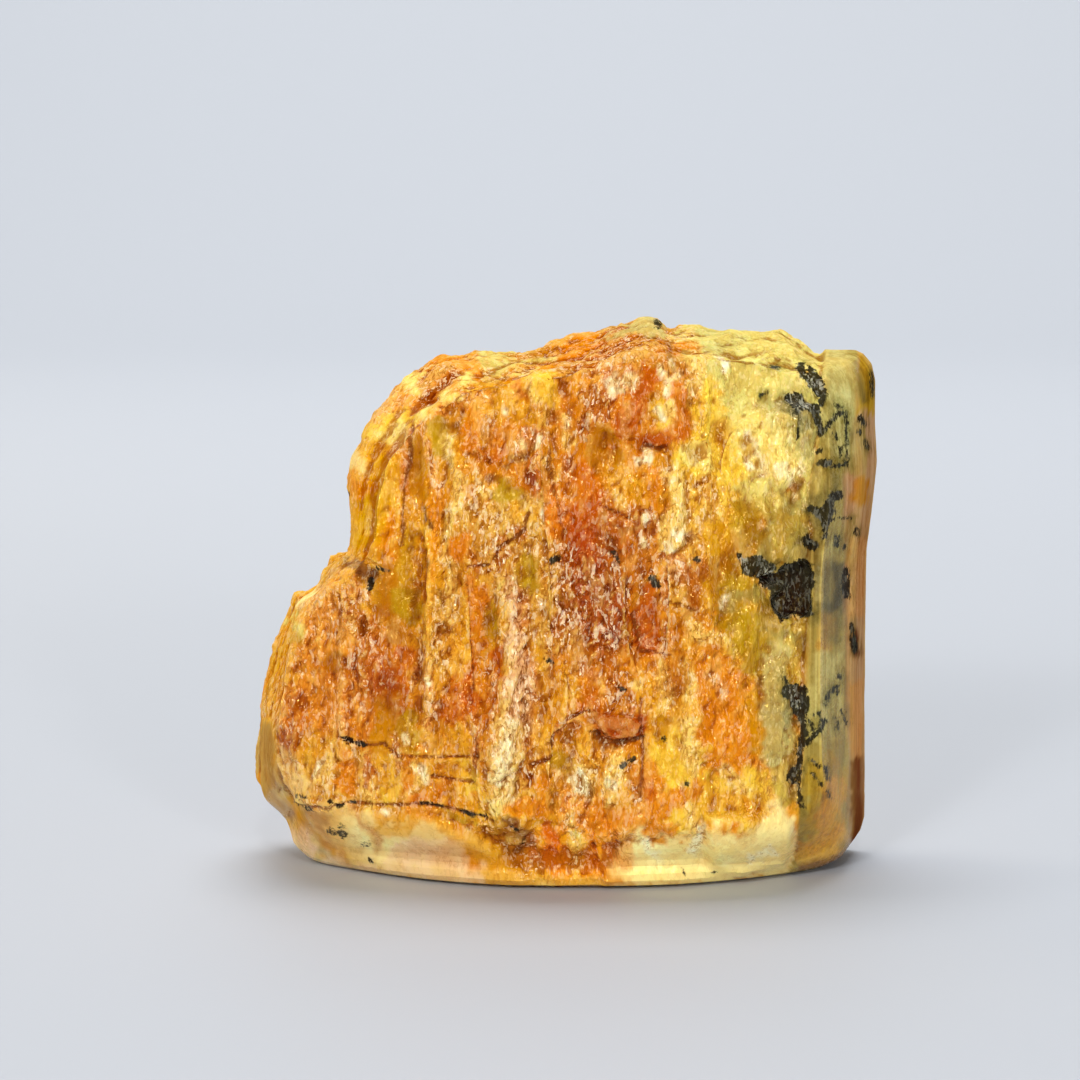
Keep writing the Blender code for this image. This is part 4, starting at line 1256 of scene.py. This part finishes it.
# Specks and cracks end a little way behind the front, where they would only be drawn out.
away_behind = 14.0 * smoothstep(stone_mm[:, 1] + BOX_MIDDLE[1] + side_bend, 2.0, 4.5)
away_behind = FAR_EDGE * (1.0 - seen) + away_behind
dark_edge = edge_distance(wavy_across, wavy_down, DARK_SPECKS)
for corners in DARK_PLATES:
    dark_edge = np.minimum(dark_edge, plate_distance(wavy_across, wavy_down, corners) + 3.6 * ragged_edge)
dark_edge = dark_edge + away_behind
grey_edge = edge_distance(wavy_across, wavy_down, GREY_SPECKS) + away_behind
crack_edge = edge_distance(wavy_across, wavy_down, [(0.4 * width, *path) for width, _, *path in CUT])
crack_edge = crack_edge + away_behind


def store(name, values):
    """Keeps one number for each point of the mesh, under a name that the material reads."""
    attribute = stone_mesh.attributes.new(name, "FLOAT", "POINT")
    attribute.data.foreach_set("value", np.asarray(values, np.float32))


store("dark_edge", dark_edge)
store("halo_edge", dark_edge + 15.0 * smoothstep(across_picture, HALO_RIGHT, HALO_LEFT))
store("grey_edge", grey_edge)
store("crack_edge", crack_edge)
store("pit", np.clip(0.5 + pit / PIT_RANGE, 0.0, 1.0))
store("hollow", np.clip(0.5 + hollow / HOLLOW_RANGE, 0.0, 1.0))
store("rough", rough)
store("frost", frost)
store("dull", dull)
tint_attribute = stone_mesh.attributes.new("tint", "FLOAT_COLOR", "POINT")
tint_attribute.data.foreach_set("color", np.c_[coat[:, :3], np.ones(len(coat))].astype(np.float32).ravel())
print("attributes:", [a.name for a in stone_mesh.attributes if not a.name.startswith(".")])

# %% [markdown]
# ## The beryl's material
#
# Real beryl is a glassy, cloudy solid. Most of its look is the colour just under the surface, broken up
# by chips, hair cracks and stain, with a sharp glassy gloss over it. One Principled shader carries both.
# The patches come from the mesh, and noise in Object coordinates breaks them up down to a tenth of a
# millimetre. Its patterns are squeezed along Z, the crystal's long axis, as the real fracture is.

# %% Node helpers


def add_node(tree, kind, values=None, **settings):
    """Adds a node, sets its plain settings, then the unlinked input values given by name or number."""
    made = tree.nodes.new(kind)
    for name, value in settings.items():
        setattr(made, name, value)
    for name, value in (values or {}).items():
        made.inputs[name].default_value = value
    return made


def join(tree, source, target):
    """Links an output to an input."""
    tree.links.new(source, target)


def read_mark(tree, name):
    """Reads what the mesh stores under that name."""
    return add_node(tree, "ShaderNodeAttribute", attribute_name=name, attribute_type="GEOMETRY")


def ramp(tree, source, low, high, to_low=0.0, to_high=1.0):
    """A smooth step from to_low at low to to_high at high."""
    made = add_node(
        tree,
        "ShaderNodeMapRange",
        {"From Min": low, "From Max": high, "To Min": to_low, "To Max": to_high},
        interpolation_type="SMOOTHSTEP",
    )
    join(tree, source, made.inputs["Value"])
    return made.outputs["Result"]


def reckon(tree, operation, *values):
    """One sum on masks or numbers."""
    made = add_node(tree, "ShaderNodeMath", operation=operation)
    for slot, value in enumerate(values):
        if isinstance(value, (int, float)):
            made.inputs[slot].default_value = value
        else:
            join(tree, value, made.inputs[slot])
    return made.outputs[0]


def blend_colour(tree, share, under, over, way="MIX"):
    """Lays a colour over another by a share from 0 to 1."""
    made = add_node(tree, "ShaderNodeMix", data_type="RGBA", blend_type=way)
    for slot, value in ((0, share), (6, under), (7, over)):
        if isinstance(value, float):
            made.inputs[slot].default_value = value
        elif isinstance(value, tuple):
            made.inputs[slot].default_value = (*value, 1.0)
        else:
            join(tree, value, made.inputs[slot])
    return made.outputs[2]


def noise(tree, place, scale, detail=4.0, roughness=0.6):
    """Soft noise, about 0.5 on average, with so many octaves of detail."""
    made = add_node(
        tree, "ShaderNodeTexNoise", {"Scale": scale, "Detail": detail, "Roughness": roughness}
    )
    join(tree, place, made.inputs["Vector"])
    return made.outputs["Fac"]


def squeezed(tree, place, along):
    """The place with Z scaled, so that a pattern read from it is longer along the crystal."""
    made = add_node(tree, "ShaderNodeMapping", {"Scale": (1.0, 1.0, along)})
    join(tree, place, made.inputs["Vector"])
    return made.outputs["Vector"]


# %% [markdown]
# ### From patches to stone
#
# The scales below are cells per metre: 1000 is a millimetre, 6500 about a sixth of one. Clear patches
# stay calm, with clouds of deeper colour in them. Where the stone is frosted it is broken into chips,
# which are Voronoi cells in gently bent places. Each chip is a flat facet with its own tilt, and its own
# random number says whether it gets a pale painted glint, stays plain or gets painted shade in a deeper
# colour.

# %% Chips and noises of the beryl
BEND_REACH = 0.0009  # metres

beryl = bpy.data.materials.new("beryl")
beryl.use_nodes = True
tree = beryl.node_tree
tree.nodes.clear()
output = add_node(tree, "ShaderNodeOutputMaterial")
surface = add_node(
    tree,
    "ShaderNodeBsdfPrincipled",
    {
        "IOR": 1.5,
        "Subsurface Weight": 0.3,
        "Subsurface Radius": (1.0, 0.6, 0.2),
        "Subsurface Scale": 0.0016,
    },
)
join(tree, surface.outputs["BSDF"], output.inputs["Surface"])

place = add_node(tree, "ShaderNodeTexCoord").outputs["Object"]
long_place = squeezed(tree, place, 0.45)
tint_mark = read_mark(tree, "tint").outputs["Color"]
rough_mark = read_mark(tree, "rough").outputs["Fac"]
frost_mark = read_mark(tree, "frost").outputs["Fac"]
pit_mark = read_mark(tree, "pit").outputs["Fac"]
hollow_mark = read_mark(tree, "hollow").outputs["Fac"]
dull_mark = read_mark(tree, "dull").outputs["Fac"]


def vector_sum(operation, *values):
    """One sum on vectors."""
    made = add_node(tree, "ShaderNodeVectorMath", operation=operation)
    for slot, value in enumerate(values):
        if isinstance(value, tuple):
            made.inputs[slot].default_value = value
        else:
            join(tree, value, made.inputs[slot])
    return made


bending = add_node(tree, "ShaderNodeTexNoise", {"Scale": 1600.0, "Detail": 2.0, "Roughness": 0.65})
join(tree, long_place, bending.inputs["Vector"])
bend = vector_sum("SUBTRACT", bending.outputs["Color"], (0.5, 0.5, 0.5)).outputs["Vector"]
bent_place = vector_sum("MULTIPLY_ADD", bend, (BEND_REACH,) * 3, long_place).outputs["Vector"]


def chips(scale, tilt):
    """Flat chips: each one's random number, and the height in metres of its facet, which is the step
    from the chip's middle taken along the chip's own random tilt."""
    cells = add_node(tree, "ShaderNodeTexVoronoi", {"Scale": scale})
    join(tree, bent_place, cells.inputs["Vector"])
    step = vector_sum("SUBTRACT", bent_place, cells.outputs["Position"]).outputs["Vector"]
    slope = vector_sum("SUBTRACT", cells.outputs["Color"], (0.5, 0.5, 0.5)).outputs["Vector"]
    rise = vector_sum("DOT_PRODUCT", step, slope).outputs["Value"]
    return cells.outputs["Color"], reckon(tree, "MULTIPLY", rise, tilt)


large_chips, large_rise = chips(2700.0, 0.55)
small_chips, small_rise = chips(6500.0, 0.95)
clouds = noise(tree, long_place, 330.0, 2.0, 0.6)
stain = noise(tree, long_place, 750.0, 4.0, 0.64)
grain = noise(tree, place, 3200.0, 3.0, 0.6)
print("chips and noises:", len(tree.nodes), "nodes")


# %% Beryl's colour
def both(first, second):
    """Two masks multiplied: full only where both are."""
    return reckon(tree, "MULTIPLY", first, second)


def darken(share, strength, colour, tone):
    """Multiplies the colour by a tone, by a mask times a strength."""
    return blend_colour(tree, both(share, strength), colour, tone, "MULTIPLY")


# Clouds of deeper colour, and films of iron stain with a darker tide mark round each.
colour = darken(ramp(tree, clouds, 0.48, 0.66), 0.5, tint_mark, (0.86, 0.66, 0.36))
stained = reckon(tree, "MAXIMUM", rough_mark, 0.45)
film = both(ramp(tree, stain, 0.505, 0.535), stained)
colour = darken(film, 0.5, colour, (0.84, 0.62, 0.34))
from_tide = reckon(tree, "ABSOLUTE", reckon(tree, "SUBTRACT", stain, 0.51))
tide = both(ramp(tree, from_tide, 0.020, 0.003), both(stained, ramp(tree, clouds, 0.40, 0.56)))
colour = darken(tide, 0.55, colour, (0.52, 0.28, 0.10))
clearer = both(ramp(tree, stain, 0.47, 0.36), both(rough_mark, 0.5))
pale_tint = blend_colour(tree, 0.45, tint_mark, (0.98, 0.66, 0.16))
colour = blend_colour(tree, clearer, colour, pale_tint)

# The smooth prism faces carry fine growth lines straight up the crystal.
growth = noise(tree, squeezed(tree, place, 0.03), 2400.0, 2.0, 0.6)
growth = both(ramp(tree, growth, 0.56, 0.44), ramp(tree, rough_mark, 0.4, 0.1))
growth = both(growth, ramp(tree, dull_mark, 0.05, 0.3))
colour = darken(growth, 0.6, colour, (0.66, 0.58, 0.42))

# Hollows and pits get painted shade in a deeper orange brown, and crests a painted highlight.
colour = darken(both(ramp(tree, hollow_mark, 0.50, 0.72), rough_mark), 0.5, colour, (0.70, 0.46, 0.20))
colour = darken(both(ramp(tree, pit_mark, 0.54, 0.82), rough_mark), 0.85, colour, (0.50, 0.28, 0.10))
painted_crest_light = both(ramp(tree, pit_mark, 0.46, 0.20), reckon(tree, "MULTIPLY_ADD", frost_mark, 0.6, 0.2))
colour = blend_colour(tree, painted_crest_light, colour, pale_tint)

# Frost: some chips get painted shade in a deeper colour, some a pale painted glint, and the rest stay
# plain.
chip_luck = reckon(tree, "ADD", both(large_chips, 0.3), both(small_chips, 0.55))
chip_luck = reckon(tree, "MULTIPLY_ADD", grain, 0.5, chip_luck)
deep = both(ramp(tree, chip_luck, 0.62, 0.46), frost_mark)
colour = darken(deep, 0.85, colour, (0.52, 0.30, 0.08))
painted_glints = both(ramp(tree, chip_luck, 0.74, 0.90), both(frost_mark, rough_mark))
painted_glint_tint = blend_colour(tree, 0.62, tint_mark, (1.0, 0.81, 0.49))
colour = blend_colour(tree, painted_glints, colour, painted_glint_tint)

# Cracks hold brown stain.
ragged = reckon(tree, "MULTIPLY_ADD", grain, 7.0, -3.5)
ragged = reckon(tree, "ADD", ragged, reckon(tree, "MULTIPLY_ADD", small_chips, 3.0, -1.5))
crack_mark = reckon(tree, "ADD", read_mark(tree, "crack_edge").outputs["Fac"], ragged)
colour = blend_colour(
    tree, reckon(tree, "MULTIPLY", ramp(tree, crack_mark, 1.4, -1.0), 0.7), colour, (0.20, 0.05, 0.008)
)

# Black mineral: a smoky halo, then a ragged edge, and grey-green chips within.
dark_mark = reckon(tree, "ADD", read_mark(tree, "dark_edge").outputs["Fac"], ragged)
halo_mark = reckon(tree, "ADD", read_mark(tree, "halo_edge").outputs["Fac"], ragged)
halo = both(ramp(tree, halo_mark, 12.0, -1.0), ramp(tree, stain, 0.42, 0.58))
colour = darken(halo, 0.85, colour, (0.46, 0.50, 0.40))
dark_share = ramp(tree, dark_mark, 1.4, -0.9)
grey_mark = reckon(tree, "ADD", read_mark(tree, "grey_edge").outputs["Fac"], ragged)
mineral = blend_colour(tree, ramp(tree, stain, 0.46, 0.60), (0.004, 0.004, 0.004), (0.024, 0.025, 0.016))
flecks = both(ramp(tree, chip_luck, 0.68, 0.86), ramp(tree, grey_mark, 2.0, -2.0, 0.3, 1.0))
mineral = blend_colour(tree, flecks, mineral, (0.30, 0.29, 0.22))
colour = blend_colour(tree, reckon(tree, "MULTIPLY", dark_share, 0.95), colour, mineral)
join(tree, colour, surface.inputs["Base Color"])
print("beryl colour:", len(tree.nodes), "nodes")

# %% Beryl's gloss and chips
height = reckon(tree, "ADD", large_rise, small_rise)
height = both(height, reckon(tree, "MAXIMUM", rough_mark, 0.06))
height = both(height, ramp(tree, frost_mark, 0.0, 0.8, 0.3, 1.0))
bump = add_node(tree, "ShaderNodeBump", {"Strength": 1.0, "Distance": 1.0})
join(tree, height, bump.inputs["Height"])
join(tree, bump.outputs["Normal"], surface.inputs["Normal"])
gloss = ramp(tree, grain, 0.35, 0.65, 0.07, 0.17)
gloss = reckon(tree, "MULTIPLY_ADD", frost_mark, 0.05, gloss)
join(tree, reckon(tree, "MULTIPLY_ADD", dull_mark, 0.40, gloss), surface.inputs["Roughness"])

# The gloss is weaker where the stone is worn dull or covered by black mineral. It is golden, as the light
# comes back through the stone's own colour, and near white only on the chips that sparkle.
shine = reckon(tree, "MULTIPLY_ADD", dull_mark, -0.42, 0.42)
shine = both(shine, reckon(tree, "MULTIPLY_ADD", dark_share, -0.7, 1.0))
sparkle = both(ramp(tree, chip_luck, 0.60, 0.75), frost_mark)
shine_level = reckon(tree, "MULTIPLY_ADD", both(sparkle, shine), 0.8, shine)
join(tree, shine_level, surface.inputs["Specular IOR Level"])
sparkle_tint = blend_colour(tree, sparkle, (1.0, 0.72, 0.18), (1.0, 0.93, 0.80))
join(tree, sparkle_tint, surface.inputs["Specular Tint"])
print("beryl:", len(tree.nodes), "nodes")

# %% [markdown]
# ## The piece
#
# The mesh already holds the stone where the frame's solid stands, so its object stays at the origin,
# unturned and unscaled. It takes the solid's place, rides on the root body and names its material slot.

# %% The stone as an object
stone_mesh.materials.append(beryl)
stone = bpy.data.objects.new("beryl_crystal", stone_mesh)
bpy.context.scene.collection.objects.link(stone)
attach(stone, "root")
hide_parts("raw_beryl")

# %% [markdown]
# ## Floor and light
#
# The stone stands on a plain pale sweep: a floor that curves up behind into a wall, as in a small
# product studio, so that no edge cuts the background. A soft key stands to the front left, and a low
# fill to the front right lights the base. A light behind and above edges the top with a thin bright
# line, a warm one does the same for the left side, and three small ones give the chips their glints.
# The last and strongest hangs high behind the stone and lights only the wall.

# %% Floor
SWEEP_HALF_WIDTH, SWEEP_FRONT, SWEEP_BEND, SWEEP_RADIUS, SWEEP_TOP = 2.5, -2.0, 0.5, 0.5, 2.0
bend_angles = np.linspace(0.0, np.pi / 2, 25)
sweep_y = np.r_[SWEEP_FRONT, SWEEP_BEND + SWEEP_RADIUS * np.sin(bend_angles), SWEEP_BEND + SWEEP_RADIUS]
sweep_z = np.r_[0.0, SWEEP_RADIUS * (1 - np.cos(bend_angles)), SWEEP_TOP]
rows = len(sweep_y)
sweep_points = np.concatenate(
    [np.c_[np.full(rows, side * SWEEP_HALF_WIDTH), sweep_y, sweep_z] for side in (-1, 1)]
)
strip = np.arange(rows - 1)
sweep_mesh = bpy.data.meshes.new("floor")
sweep_quads = np.c_[strip, strip + rows, strip + rows + 1, strip + 1]
sweep_mesh.from_pydata(sweep_points.tolist(), [], sweep_quads.tolist())
sweep_mesh.polygons.foreach_set("use_smooth", np.ones(rows - 1, bool))
floor = bpy.data.objects.new("floor", sweep_mesh)
bpy.context.scene.collection.objects.link(floor)
pale = bpy.data.materials.new("pale_floor")
pale.use_nodes = True
paint = pale.node_tree.nodes["Principled BSDF"]
paint.inputs["Base Color"].default_value = (0.43, 0.455, 0.495, 1.0)
paint.inputs["Roughness"].default_value = 0.6
paint.inputs["Specular IOR Level"].default_value = 0.2
sweep_mesh.materials.append(pale)

# %% Light
world = bpy.data.worlds.new("studio")
bpy.context.scene.world = world
world.use_nodes = True
sky = world.node_tree.nodes["Background"]
sky.inputs["Color"].default_value = (1.0, 0.95, 0.88, 1.0)
sky.inputs["Strength"].default_value = 0.20
bpy.context.scene.view_settings.view_transform = "Standard"


def add_light(name, place, size, watts, tone=(1.0, 1.0, 1.0), aim=(0.0, 0.0, 0.018)):
    """A square soft light at a place, turned so that its face looks at the aim."""
    lamp = bpy.data.lights.new(name, "AREA")
    lamp.size = size
    lamp.energy = watts
    lamp.color = tone
    stand = bpy.data.objects.new(name, lamp)
    stand.location = place
    stand.rotation_euler = (Vector(aim) - Vector(place)).to_track_quat("-Z", "Y").to_euler()
    bpy.context.scene.collection.objects.link(stand)


add_light("key", (-0.27, -0.68, 0.33), 0.20, 1.72)
add_light("fill", (0.24, -0.64, 0.08), 0.15, 1.1)
add_light("edge", (0.05, 0.35, 0.45), 0.30, 0.40)
add_light("left_rim", (-0.45, 0.20, 0.12), 0.15, 0.8, tone=(1.0, 0.82, 0.58))
add_light("glint_left", (-0.14, -0.42, 0.22), 0.035, 0.45)
add_light("glint_right", (0.16, -0.45, 0.16), 0.035, 0.40)
add_light("glint_top", (0.01, -0.40, 0.30), 0.035, 0.35)
add_light("wall_wash", (0.0, 0.3, 1.1), 0.8, 16.5, aim=(0.0, 1.0, 0.3))
